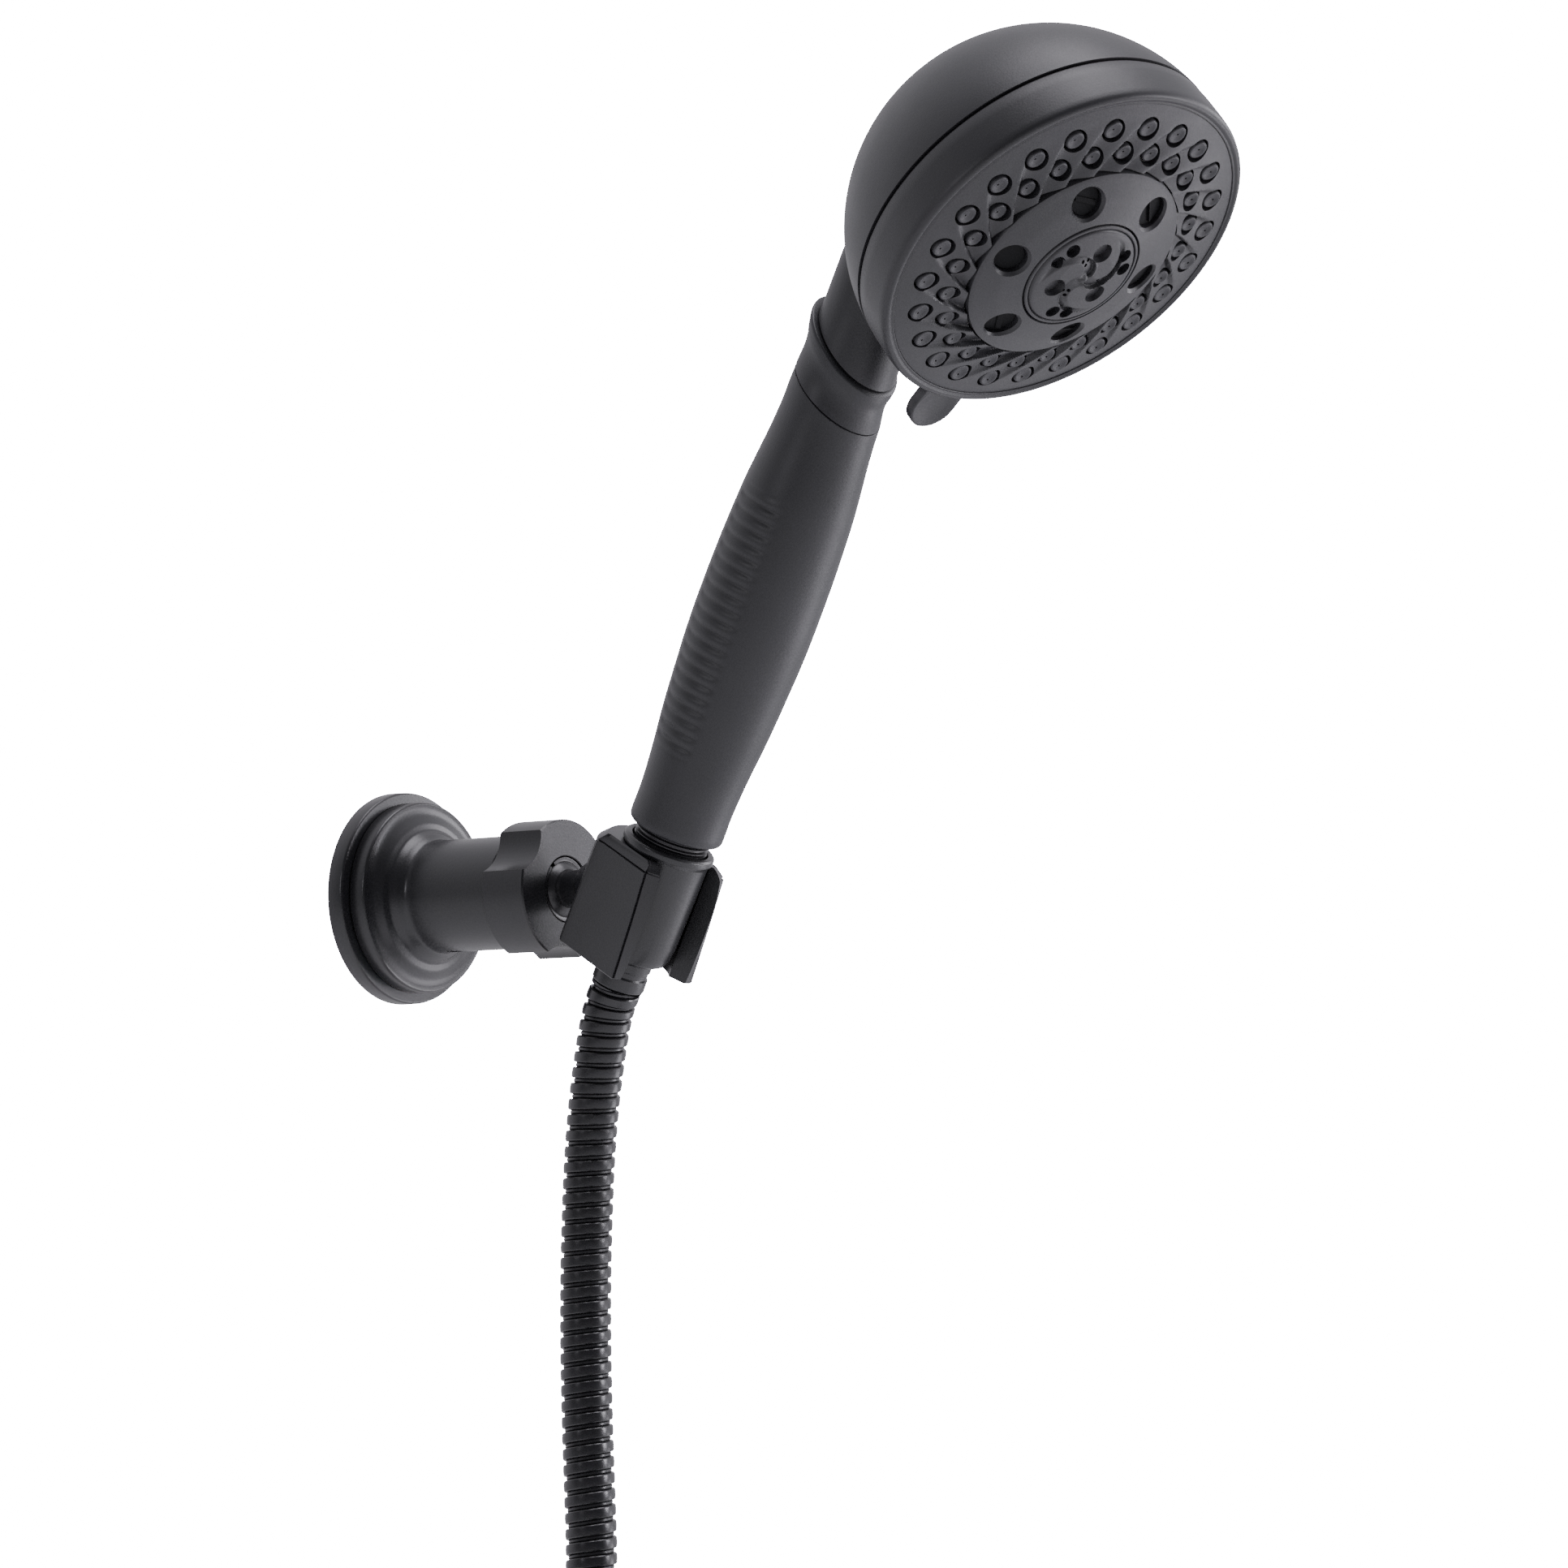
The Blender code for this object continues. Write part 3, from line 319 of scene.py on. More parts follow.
def curved(profile, count):
    """Points of a smooth curve through a profile's points (Catmull-Rom)."""
    spots = [Vector(p) for p in profile]
    spots = [spots[0] * 2 - spots[1]] + spots + [spots[-1] * 2 - spots[-2]]
    made = []
    for a, b, c, d in zip(spots, spots[1:], spots[2:], spots[3:]):
        for i in range(count):
            t = i / count
            made.append(0.5 * (2 * b + (c - a) * t + (2 * a - 5 * b + 4 * c - d) * t * t
                               + (3 * b - a - 3 * c + d) * t ** 3))
    made.append(spots[-2])
    return made


def arc(centre, radius, start, stop, count):
    """Points of an arc in a profile, angles from +radius toward +height."""
    angles = [math.radians(start + (stop - start) * i / count) for i in range(count + 1)]
    return [(centre[0] + radius * math.cos(a), centre[1] + radius * math.sin(a)) for a in angles]


def piece(name, verts, faces, where, paint=None, angle=40.0):
    """A mesh piece from points in millimetres in its frame, with round shading."""
    mesh = bpy.data.meshes.new(name)
    mesh.from_pydata([tuple(where @ (Vector(v) * MM)) for v in verts], [], faces)
    shape = bmesh.new()
    shape.from_mesh(mesh)
    bmesh.ops.remove_doubles(shape, verts=shape.verts, dist=1e-7)
    bmesh.ops.recalc_face_normals(shape, faces=shape.faces)
    shape.to_mesh(mesh)
    shape.free()
    made = bpy.data.objects.new(name, mesh)
    bpy.context.scene.collection.objects.link(made)
    if paint:
        mesh.materials.append(PAINT[paint])
    shade(made, angle)
    return made


def shade(made, angle=40.0):
    """Smooth shading, with edges sharper than the angle kept crisp."""
    made.data.shade_smooth()
    made.data.set_sharp_from_angle(angle=math.radians(angle))
    return made


def swept(columns, loop=True):
    """Points and faces of a ring of columns, each a profile's points, joined to the next round to the first."""
    count, steps = len(columns[0]), len(columns)
    faces = []
    for j in range(steps):
        here, there = j * count, ((j + 1) % steps) * count
        for i in range(count if loop else count - 1):
            k = (i + 1) % count
            faces.append((here + i, there + i, there + k, here + k))
    return [spot for column in columns for spot in column], faces


def turned(name, profile, where, paint=None, steps=96, loop=True, push=None, angle=40.0):
    """A turned piece about the frame's Z; push(height, turn) is added to each point's radius."""
    columns = []
    for j in range(steps):
        turn = 2 * math.pi * j / steps
        grown = [(r + (push(z, turn) if push else 0.0), z) for r, z in profile]
        columns.append([(r * math.cos(turn), r * math.sin(turn), z) for r, z in grown])
    return piece(name, *swept(columns, loop), where, paint, angle)


def bands(rings, sides, start=0):
    """Faces between rings of points that follow each other in a list."""
    return [(a + j, a + (j + 1) % sides, a + sides + (j + 1) % sides, a + sides + j)
            for a in range(start, start + (rings - 1) * sides, sides) for j in range(sides)]


def stacked(rings):
    """Points and faces of a solid through rings of points, closed by its first and last ring."""
    sides, last = len(rings[0]), (len(rings) - 1) * len(rings[0])
    faces = [tuple(range(sides)), tuple(range(last, last + sides))] + bands(len(rings), sides)
    return [spot for ring in rings for spot in ring], faces


def pointed(tip, rings):
    """Points and faces of a solid that starts at a tip and goes on through rings of points."""
    sides, last = len(rings[0]), 1 + (len(rings) - 1) * len(rings[0])
    faces = [(0, 1 + j, 1 + (j + 1) % sides) for j in range(sides)] + bands(len(rings), sides, 1)
    return [tip] + [spot for ring in rings for spot in ring], faces + [tuple(range(last, last + sides))]


def ring_at(x, y, z, radius, sides):
    """A level ring of points."""
    turns = [2 * math.pi * i / sides for i in range(sides)]
    return [(x + radius * math.cos(a), y + radius * math.sin(a), z) for a in turns]


def prism(name, outline, low, high, where, paint=None):
    """A flat outline raised from one height to another."""
    return piece(name, *stacked([[(x, y, z) for x, y in outline] for z in (low, high)]), where, paint)


def rod(x, y, low, high, low_r, high_r, sides=32):
    """Points and faces of one upright cone, for gathered()."""
    return stacked([ring_at(x, y, low, low_r, sides), ring_at(x, y, high, high_r, sides)])


def gathered(name, parts, where, paint=None, angle=40.0):
    """Several (points, faces) shapes as one mesh piece."""
    verts, faces = [], []
    for some_verts, some_faces in parts:
        base = len(verts)
        verts += some_verts
        faces += [tuple(base + i for i in face) for face in some_faces]
    return piece(name, verts, faces, where, paint, angle)


def block(middle, size, spin=0.0, tilt=0.0):
    """Points and faces of one box, tilted about its own X and then turned about Z."""
    turn = Matrix.Rotation(math.radians(spin), 3, "Z") @ Matrix.Rotation(math.radians(tilt), 3, "X")
    corners = [Vector((x, y, z)) for x in (-0.5, 0.5) for y in (-0.5, 0.5) for z in (-0.5, 0.5)]
    verts = [tuple(Vector(middle) + turn @ Vector([c * s for c, s in zip(corner, size)])) for corner in corners]
    return verts, [(0, 1, 3, 2), (4, 5, 7, 6), (0, 1, 5, 4), (2, 3, 7, 6), (0, 2, 6, 4), (1, 3, 7, 5)]


def joined(made, tool, operation="DIFFERENCE", angle=40.0):
    """Cut a piece with a tool, or join the tool on, and apply it."""
    step = made.modifiers.new("join", "BOOLEAN")
    step.operation = operation
    step.solver = "EXACT"
    step.object = tool
    applied(made)
    bpy.data.objects.remove(tool)
    return shade(made, angle)


def applied(made):
    """Make a piece's modifiers its mesh."""
    bpy.context.view_layer.update()
    evaluated = made.evaluated_get(bpy.context.evaluated_depsgraph_get())
    mesh = bpy.data.meshes.new_from_object(evaluated)
    made.modifiers.clear()
    made.data = mesh
    return made


def bevelled(made, width):
    """Soft edges, as moulded and cast pieces have."""
    step = made.modifiers.new("bevel", "BEVEL")
    step.width = width * MM
    step.segments = 3
    step.limit_method = "ANGLE"
    step.angle_limit = math.radians(35.0)
    step.harden_normals = True
    applied(made)
    return shade(made, 50.0)


def ring_spots(count, radius, phase=0.0):
    """Places spaced evenly round a ring, the first at the phase in degrees."""
    angles = [math.radians(phase + 360.0 * i / count) for i in range(count)]
    return [(radius * math.cos(a), radius * math.sin(a)) for a in angles]


def stands(made, body, *nodes):
    """The piece rides on a body and takes the place of CAD nodes."""
    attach(made, body)
    if nodes:
        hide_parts(*nodes)
    return made


# ---------------------------------------------------------------- the hose

def coil_points():
    """The coil's turns: flat loops side by side, each crossing to the next in the later half of its turn."""
    per_turn, cross_from, cross_length = 40, 0.55, 0.4
    made = []
    for i in range(int(COIL_TURNS * per_turn) + 1):
        angle = 2 * math.pi * i / per_turn
        turn, part = divmod(i / per_turn, 1.0)
        across = STRAND * (turn + smooth_step((part - cross_from) / cross_length) - 1.0)
        made.append(Vector(COIL_CENTRE) + Vector((across, COIL_R * math.cos(angle), -COIL_R * math.sin(angle))))
    return made


def hose_line():
    """The whole centre line, from the ferrule through the coil to inside the far ferrule."""
    run = curved(HOSE_ROUTE, 6)
    coil = coil_points()
    sleeve, hose, gap, inside = 7.0, 6.8, 0.3, 10.0
    tail_top = math.sqrt((COIL_R + sleeve) ** 2 - (COIL_R - hose) ** 2) + gap + inside
    drop = [Vector((run[-1].x, run[-1].y, run[-1].z + (coil[0].z - run[-1].z) * t)) for t in (0.25, 0.5, 0.75)]
    rise = [coil[-1] + Vector((0.0, 0.0, tail_top * t)) for t in (0.25, 0.5, 0.75, 1.0)]
    return [AT["swivel"] @ (p * MM) for p in run + drop + coil + rise]


def build_hose():
    """A spiral-wound hose: flat-topped windings with a narrow groove and a fine bead between them."""
    sides, sample = 28, 1.0 * MM
    line = hose_line()
    lengths = [0.0]
    for a, b in zip(line, line[1:]):
        lengths.append(lengths[-1] + (b - a).length)
    total = lengths[-1]
    pitch = HOSE_PITCH * MM
    # One winding: share of the pitch, radius
    profile = [(0.0, 5.95), (0.03, 6.8), (0.09, 7.02), (0.36, 7.1), (0.63, 7.02), (0.69, 6.8), (0.72, 6.0),
               (0.79, 6.25), (0.92, 6.25)]

    def spot_at(walked, index):
        """Place and direction a length along the line, searching on from a segment."""
        while index < len(lengths) - 2 and lengths[index + 1] < walked:
            index += 1
        part = (walked - lengths[index]) / (lengths[index + 1] - lengths[index])
        ahead = (line[index + 1] - line[index]).normalized()
        if 0 < index < len(line) - 2:
            before = (line[index] - line[index - 1]).normalized()
            after = (line[index + 2] - line[index + 1]).normalized()
            ahead = (before + ahead).lerp(ahead + after, part).normalized()
        return line[index].lerp(line[index + 1], part), ahead, index

    samples = int(total / sample) + 1
    spots, index, side = [], 0, AT["swivel"].to_3x3() @ Vector((1.0, 0.0, 0.0))
    for i in range(samples + 1):
        here, ahead, index = spot_at(min(total * i / samples, total - 1e-9), index)
        side = (side - ahead * side.dot(ahead)).normalized()
        spots.append((here, side, ahead.cross(side)))

    verts, faces = [], []
    rows = (int(total / pitch) + 2) * len(profile)
    for row in range(rows):
        share, radius = profile[row % len(profile)]
        for j in range(sides):
            along = (row // len(profile) + share + j / sides - 1.0) * pitch
            place = min(max(along, 0.0), total) / total * samples
            k = min(int(place), samples - 1)
            here, across, up = (a.lerp(b, place - k) for a, b in zip(spots[k], spots[k + 1]))
            turn = 2 * math.pi * j / sides
            verts.append(here / MM + (across * math.cos(turn) + up * math.sin(turn)) * radius)
    for row in range(rows - 1):
        for j in range(sides - 1):
            a = row * sides + j
            faces.append((a, a + 1, a + 1 + sides, a + sides))
        ahead = row + len(profile)
        if ahead + 1 < rows:
            last = row * sides + sides - 1
            faces.append((last, ahead * sides, (ahead + 1) * sides, last + sides))
    return piece("hose", verts, faces, Matrix.Identity(4), "hose", 30.0), line, total


def build_hose_and_ends():
    """The hose with its ties and far connector, in place of the imported cord pieces."""
    hose, line, total = build_hose()
    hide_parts(*CORD_NODES)
    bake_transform(hose)

    end = AT["swivel"] @ Matrix.Translation(Vector((STRAND, COIL_CENTRE[1] - COIL_R, 0.0)) * MM)
    low = (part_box("end_ferrule")[0][2] - AT["swivel"].translation.z) / MM
    ferrule = turned("end_ferrule_fine", rounded([
        (4.4, low + 22.0), (9.2, low + 22.0), (9.2, low + 19.4), (7.3, low + 19.4), (7.3, low + 5.8),
        (6.9, low + 5.4), (6.9, low + 4.2), (7.3, low + 3.8), (7.3, low), (4.4, low)], 0.4), end, "metal")
    stands(ferrule, "hose", "end_ferrule")
    nut = turned("end_nut_fine", rounded([
        (10.8, low + 32.0), (12.5, low + 32.0), (13.1, low + 31.2), (13.1, low + 17.8), (12.3, low + 16.6),
        (7.7, low + 16.6), (7.7, low + 19.0), (10.8, low + 19.0)], 0.3), end, "metal")
    flats = [block((x, y, low + 24.0), (10.0, 40.0, 24.0), 60.0 * i) for i, (x, y) in
             enumerate(ring_spots(6, 17.0))]
    joined(nut, gathered("nut_flats", flats, end))
    ridges = [(10.3 if i % 2 else 10.8, low + 31.0 - 0.45 * i) for i in range(1, 14)]
    thread = turned("end_nut_thread", [(10.7, low + 31.0)] + ridges + [(10.79, low + 24.8)], end, "metal")
    stands(nut, "outlet_nut", "end_nut")
    stands(thread, "outlet_nut")
    ties = [build_tie("tie_upper", "hose_tie_upper", 62.0), build_tie("tie_lower", "hose_tie_lower", 270.0)]


def build_tie(name, node, angle):
    """A hook-and-loop strap round the coil."""
    half, tall, thick, reach, soft, sides = 22.0, 7.9, 0.9, 5.0, 0.5, 48
    out = Vector((0.0, math.cos(math.radians(angle)), math.sin(math.radians(angle))))
    where = AT["swivel"] @ Matrix.Translation((Vector(COIL_CENTRE) + out * COIL_R) * MM) @ Matrix.Rotation(
        math.radians(angle - 90.0), 4, "X")
    # Place along the coil, and how far the strap's softened edge draws toward its middle
    rows = ((-reach, 0.25), (soft - reach, 0.0), (reach - soft, 0.0), (reach, 0.25))
    skins = [(half + thick, tall + thick, y, -edge) for y, edge in rows]
    skins += [(half, tall, y, edge) for y, edge in reversed(rows)]
    columns = []
    for k in range(sides):
        c, s = math.cos(2 * math.pi * k / sides), math.sin(2 * math.pi * k / sides)
        x, z = math.copysign(abs(c) ** 0.25, c), math.copysign(abs(s) ** 0.42, s)
        columns.append([(x * wide * (1 + edge / 30), y, z * high * (1 + edge / 9)) for wide, high, y, edge in skins])
    made = piece(name, *swept(columns), where, "tie")
    return stands(made, "hose", node)


# ---------------------------------------------------------------- wall bracket and ball joint

def build_bracket():
    """Wall plate, stepped flange with its arm, and the grub screw's hole."""
    wall = AT["wall"]
    plate = turned("wall_plate_fine", rounded([
        (0.0, 27.0), (12.1, 27.0), (12.1, 5.3), (29.9, 5.3), (30.0, 0.0), (0.0, 0.0)], 0.7, loop=False),
        wall, "metal", loop=False, steps=128)
    holes = gathered("plate_holes", [rod(side * 18.0, 0.0, -2.0, 9.0, 2.4, 2.4) for side in (-1, 1)], wall)
    joined(plate, holes)
    stands(plate, "wall_bracket", "wall_plate")

    face = curved([(15.8, 19.5), (15.85, 17.8), (16.1, 16.6), (16.8, 15.7), (17.6, 14.9), (18.3, 13.95),
                   (18.95, 13.35), (19.8, 13.05), (20.9, 12.7), (22.2, 11.95), (23.6, 11.25), (25.0, 10.9),
                   (26.1, 10.9)], 4)
    profile = [(0.0, 36.0), (11.2, 36.0), (11.2, 54.0), (14.1, 54.0), (14.4, 53.6), (14.4, 47.0), (15.6, 47.0),
               (15.8, 46.8), *[tuple(p) for p in face], *arc((26.15, 10.2), 0.75, 80.0, 0.0, 6),
               (26.9, 6.2), (26.8, 5.8), (26.6, 5.6), (23.6, 5.6), (23.6, 8.0), (12.4, 8.0), (12.4, 32.0),
               (0.0, 32.0)]
    arm = turned("flange_arm_fine", profile, wall, "metal", loop=False, steps=144, angle=28.0)
    hole_at = wall @ Matrix.Translation((0.0, 0.0, 22.0 * MM)) @ Matrix.Rotation(math.pi / 2, 4, "X")
    joined(arm, gathered("grub_hole", [rod(0.0, 0.0, 11.0, 18.0, 2.65, 2.65)], hole_at), angle=28.0)
    stands(arm, "wall_bracket", "flange_arm")
    return plate, arm


def build_ball_joint():
    """The clamping nut with its three scallops, the split collet, and the ball with its stem."""
    joint = AT["nut"]
    profile = [(9.3, 4.2), (9.3, 5.8), (9.5, 6.0), (19.0, 6.0), (19.4, 5.6), (19.4, -8.3), (19.0, -8.7),
               (14.8, -8.7), (14.8, 4.2)]
    nut = turned("ball_nut_fine", profile, joint, "metal", steps=180, angle=28.0)
    floor, radius = 15.75, 10.9
    scallops = [rod(x, y, -20.0, 20.0, radius, radius, 160) for x, y in ring_spots(3, floor + radius, 26.5)]
    joined(nut, gathered("nut_scallops_fine", scallops, joint), angle=22.0)
    stands(nut, "clamping_nut", "ball_nut")

    collet = turned("split_collet_fine", rounded([
        (7.7, 5.55), (8.95, 5.75), (9.0, 3.9), (13.8, 3.9), (13.8, 3.0), (9.4, 3.0), (8.0, 5.1)], 0.25), joint,
        "metal", steps=96)
    joined(collet, gathered("collet_split", [block((-7.6, 8.2, 4.0), (12.0, 1.6, 8.0), 133.0)], joint))
    stands(collet, "wall_bracket", "split_collet")

    ball_r, stem_r = 9.5, 5.0
    start = math.degrees(math.acos(stem_r / ball_r)) - 3.0
    neck = [(0.0, 9.0), (2.3, 9.0), (2.3, 21.0), (4.8, 21.0), (stem_r, 20.8), (stem_r, 9.6), (5.15, 8.7), (5.4, 8.1)]
    ball = turned("ball_stem_fine", neck + arc((0.0, 0.0), ball_r, start, -57.4, 28) + [(0.0, -8.0)],
                  AT["stem"], "metal", loop=False, steps=96)
    stands(ball, "stem", "ball_stem")
    return nut, collet, ball


def clip_outline(half, edge, tip_x, tip, back_r):
    """The cradle's outline at one level: flat cheeks, wedge tips in front, a round back, an open bore."""
    back = arc((0.0, 1.5), back_r, 33.0, 147.0, 36)
    inner = arc((0.0, 0.0), CLIP_BORE, 218.0, -38.0, 60)
    side = [(half - 0.64, -edge - 0.4), (half - 0.75, -edge + 0.15), (half, -edge), (half, 9.6)]
    return ([(tip_x, -tip)] + side + back + [(-x, y) for x, y in reversed(side)] + [(-tip_x, -tip)] + inner)


CLIP_BORE = 12.45
# The cradle's levels: height, half width, front edge of the cheeks, tip across and forward, back radius
CLIP_LEVELS = (
    (-39.9, 14.7, 11.3, 12.0, 11.8, 17.9), (-39.6, 15.0, 11.6, 12.1, 12.2, 18.2),
    (-36.0, 15.0, 11.4, 12.0, 12.6, 18.2), (-30.0, 15.0, 11.0, 11.9, 12.95, 18.2),
    (-24.0, 15.0, 10.6, 11.8, 13.1, 18.2), (-18.0, 15.0, 10.1, 11.7, 13.0, 18.2),
    (-14.0, 15.0, 9.7, 11.6, 12.7, 18.2), (-11.5, 15.0, 9.5, 11.5, 12.2, 18.2),
    (-9.9, 15.0, 9.35, 11.4, 11.9, 18.2), (-9.4, 15.0, 9.25, 11.4, 11.75, 18.2),
    (-9.2, 14.35, 9.1, 11.35, 11.65, 17.6), (-8.85, 14.75, 9.0, 11.3, 11.5, 17.95),
    (-8.2, 14.15, 8.6, 11.1, 11.0, 17.35), (-7.5, 13.45, 8.0, 10.9, 10.2, 16.65),
    (-7.0, 13.05, 7.4, 10.8, 9.3, 16.2), (-6.65, 12.75, 6.6, 10.7, 8.3, 15.9))


def build_clip():
    """The cradle: flat cheeks that end in wedge-shaped tips, a bevelled top and a round back."""
    handle, stem = AT["handle"], AT["stem"]
    levels = [[(x, y, level) for x, y in clip_outline(*shape)] for level, *shape in CLIP_LEVELS]
    clip = piece("holder_clip_fine", *stacked(levels), handle, "clip")
    joined(clip, gathered("clip_boss", [rod(0.0, 0.0, 16.6, 24.5, 6.5, 9.6, 64)], stem), "UNION", 24.0)
    bore = prism("clip_bore", arc((0.0, 0.0), CLIP_BORE, 2.0, 356.0, 59), -46.0, 0.0, handle)
    joined(clip, bore, angle=24.0)
    for hole in (rod(0.0, 0.0, 5.0, 21.4, 5.3, 5.3, 48), rod(0.0, 0.0, 15.0, 30.0, 2.3, 2.3, 40),
                 rod(0.0, 0.0, 23.5, 40.0, 4.2, 4.2, 40)):
        joined(clip, gathered("clip_hole", [hole], stem), angle=24.0)
    stands(clip, "holder", "holder_clip")
    return clip


def build_hose_end():
    """Cone nut, ferrule with its bead, and the threaded inlet that shows above the nut."""
    handle = AT["handle"]
    nut = turned("cone_nut_fine", rounded([
        (10.8, -3.6), (12.2, -3.6), (12.85, -4.2), (12.85, -5.6), (12.35, -6.4), (12.0, -6.9), (11.95, -14.0),
        (11.75, -24.0), (11.55, -31.0), (11.1, -34.8), (10.2, -36.8), (8.8, -37.7), (7.7, -37.7), (7.7, -19.4),
        (10.8, -19.4)], 0.5), handle, "metal", steps=112)
    stands(nut, "handset", "cone_nut")
    ferrule = turned("hose_ferrule_fine", rounded([
        (4.4, -16.5), (10.0, -16.5), (10.0, -19.0), (7.3, -19.0), (7.3, -40.3), (6.95, -40.8), (6.95, -42.2),
        (7.35, -42.7), (7.4, -46.0), (7.1, -46.4), (4.4, -46.4)], 0.3), handle, "metal", steps=72)
    stands(ferrule, "hose_end", "hose_ferrule")
    ridges = []
    for i in range(2):
        z = -0.9 - 1.25 * i
        ridges += [(9.55, z), (10.35, z - 0.35), (10.35, z - 0.6), (9.55, z - 0.95)]
    spigot = turned("inlet_spigot_fine", [(7.8, 18.0), (10.9, 18.0), (10.9, 0.3), (9.6, -0.2)] + ridges
                    + [(10.4, -3.4), (10.4, -13.8), (7.8, -13.8)], handle, "metal", steps=96)
    stands(spigot, "handset", "inlet_spigot")
    return nut, ferrule, spigot


# ---------------------------------------------------------------- handset

def grip_ribs(height, turn):
    """How far the handle is sunk between the shallow finger ribs down its left side."""
    low, high, run_out, pitch, deep = 22.0, 99.0, 3.0, 3.65, 0.62
    middle, half = 182.0, 30.0
    if not low < height < high:
        return 0.0
    away = abs((math.degrees(turn) - middle + 180.0) % 360.0 - 180.0) / half
    side = max(0.0, 1.0 - away ** 6)
    ends = min(1.0, (height - low) / run_out) * min(1.0, (high - height) / run_out)
    wave = 0.5 - 0.5 * math.cos(2 * math.pi * (height - low) / pitch)
    return -deep * side * ends * (1.0 - wave ** 0.5)


def build_handle():
    """The waisted handle with its finger ribs; its top edge falls toward the front."""
    handle = AT["handle"]
    outside = curved([(13.3, 134.0), (13.5, 127.0), (13.55, 121.0), (14.1, 113.0), (14.95, 104.8), (15.6, 98.0),
                      (16.05, 90.0), (16.4, 81.0), (16.55, 72.0), (16.55, 62.0), (16.35, 54.0), (15.95, 46.5),
                      (15.45, 38.0), (14.85, 30.0), (14.1, 22.5), (13.5, 15.0), (13.2, 8.5), (13.25, 2.6)], 20)
    profile = [(HANDLE_BORE, 134.0)] + [tuple(p) for p in outside] + [
        (13.2, 1.2), (12.9, 0.5), (12.4, 0.1), (11.6, 0.0), (HANDLE_BORE, 0.3)]
    shell = turned("handle_shell_fine", profile, handle, "shell", steps=128, push=grip_ribs, angle=60.0)
    cut_above(shell, handle, LOWER_SEAM - SEAM_GAP, LOWER_SLOPE)
    return stands(shell, "handset", "handle_shell")


def slant(level, slope):
    """The plane of a seam: through the handle's axis at a height, and falling toward the front."""
    return Vector((0.0, 0.0, level)), Vector((0.0, -slope, 1.0)).normalized()


def cut_above(made, where, level, slope):
    """Take away a hollow piece above a seam, close its wall there, and soften the new edges."""
    spot, normal = slant(level, slope)
    shape = bmesh.new()
    shape.from_mesh(made.data)
    cut = sliced(shape, where @ (spot * MM), where.to_3x3() @ normal)
    rim = [e for e in cut["geom_cut"] if isinstance(e, bmesh.types.BMEdge)]
    bmesh.ops.bridge_loops(shape, edges=rim)
    bmesh.ops.recalc_face_normals(shape, faces=shape.faces)
    bmesh.ops.bevel(shape, geom=rim, offset=0.14 * MM, segments=2, affect="EDGES", profile=0.5)
    shape.to_mesh(made.data)
    shape.free()
    shade(made, 50.0)


def sliced(shape, spot, normal):
    """Take away what lies past a plane."""
    return bmesh.ops.bisect_plane(shape, geom=shape.verts[:] + shape.edges[:] + shape.faces[:], dist=1e-7,
                                  plane_co=spot, plane_no=normal, clear_outer=True)


def build_collar():
    """The flared trim ring, its top and bottom slanting with the seams."""
    handle, lean = AT["handle"], 0.6
    low, high = LOWER_SEAM + SEAM_GAP, UPPER_SEAM - 0.12
    outside = curved([(13.1, high - 0.02), (13.75, high - 0.25), (14.1, high - 0.95), (14.0, high - 2.0),
                      (13.7, high - 3.7), (13.2, high - 5.6), (12.95, high - 7.6), (13.0, low + 4.2),
                      (13.25, low + 1.8), (13.42, low + 0.2)], 5)
    profile = [(10.9, high)] + [tuple(p) for p in outside] + [(13.2, low), (10.9, low)]
    made = turned("collar_ring_fine", profile, handle, "shell", steps=128, angle=50.0)
    back = handle.inverted()
    for vertex in made.data.vertices:
        spot = (back @ vertex.co) / MM
        rise = (spot.z - low) / (high - low)
        spot.z += (LOWER_SLOPE + (UPPER_SLOPE - LOWER_SLOPE) * rise) * spot.y
        spot.y += lean * rise
        vertex.co = handle @ (spot * MM)
    return stands(made, "handset", "collar_ring")


def neck_field(spot):
    """Distance from a point of the handle frame to the neck's skin."""
    if spot.z < NECK_TOP:
        return math.hypot(spot.x, spot.y) - neck_radius(spot.z)
    centre = Vector((0.0, -GOOSE_R, NECK_TOP))
    flat = Vector((0.0, spot.y - centre.y, spot.z - centre.z))
    a = math.radians(NECK_BEND)
    if math.atan2(flat.z, flat.y) > a:
        end = centre + Vector((0.0, GOOSE_R * math.cos(a), GOOSE_R * math.sin(a)))
        out = Vector((0.0, -math.sin(a), math.cos(a)))
        rel = spot - end
        along = max(rel.dot(out), 0.0)
        return (rel - out * along).length - NECK_R
    return math.hypot(spot.x, flat.length - GOOSE_R) - NECK_R


def neck_radius(height):
    """The neck narrows a little from its foot."""
    return NECK_FOOT_R + (NECK_R - NECK_FOOT_R) * smooth_step((height - NECK_FOOT) / 21.0)


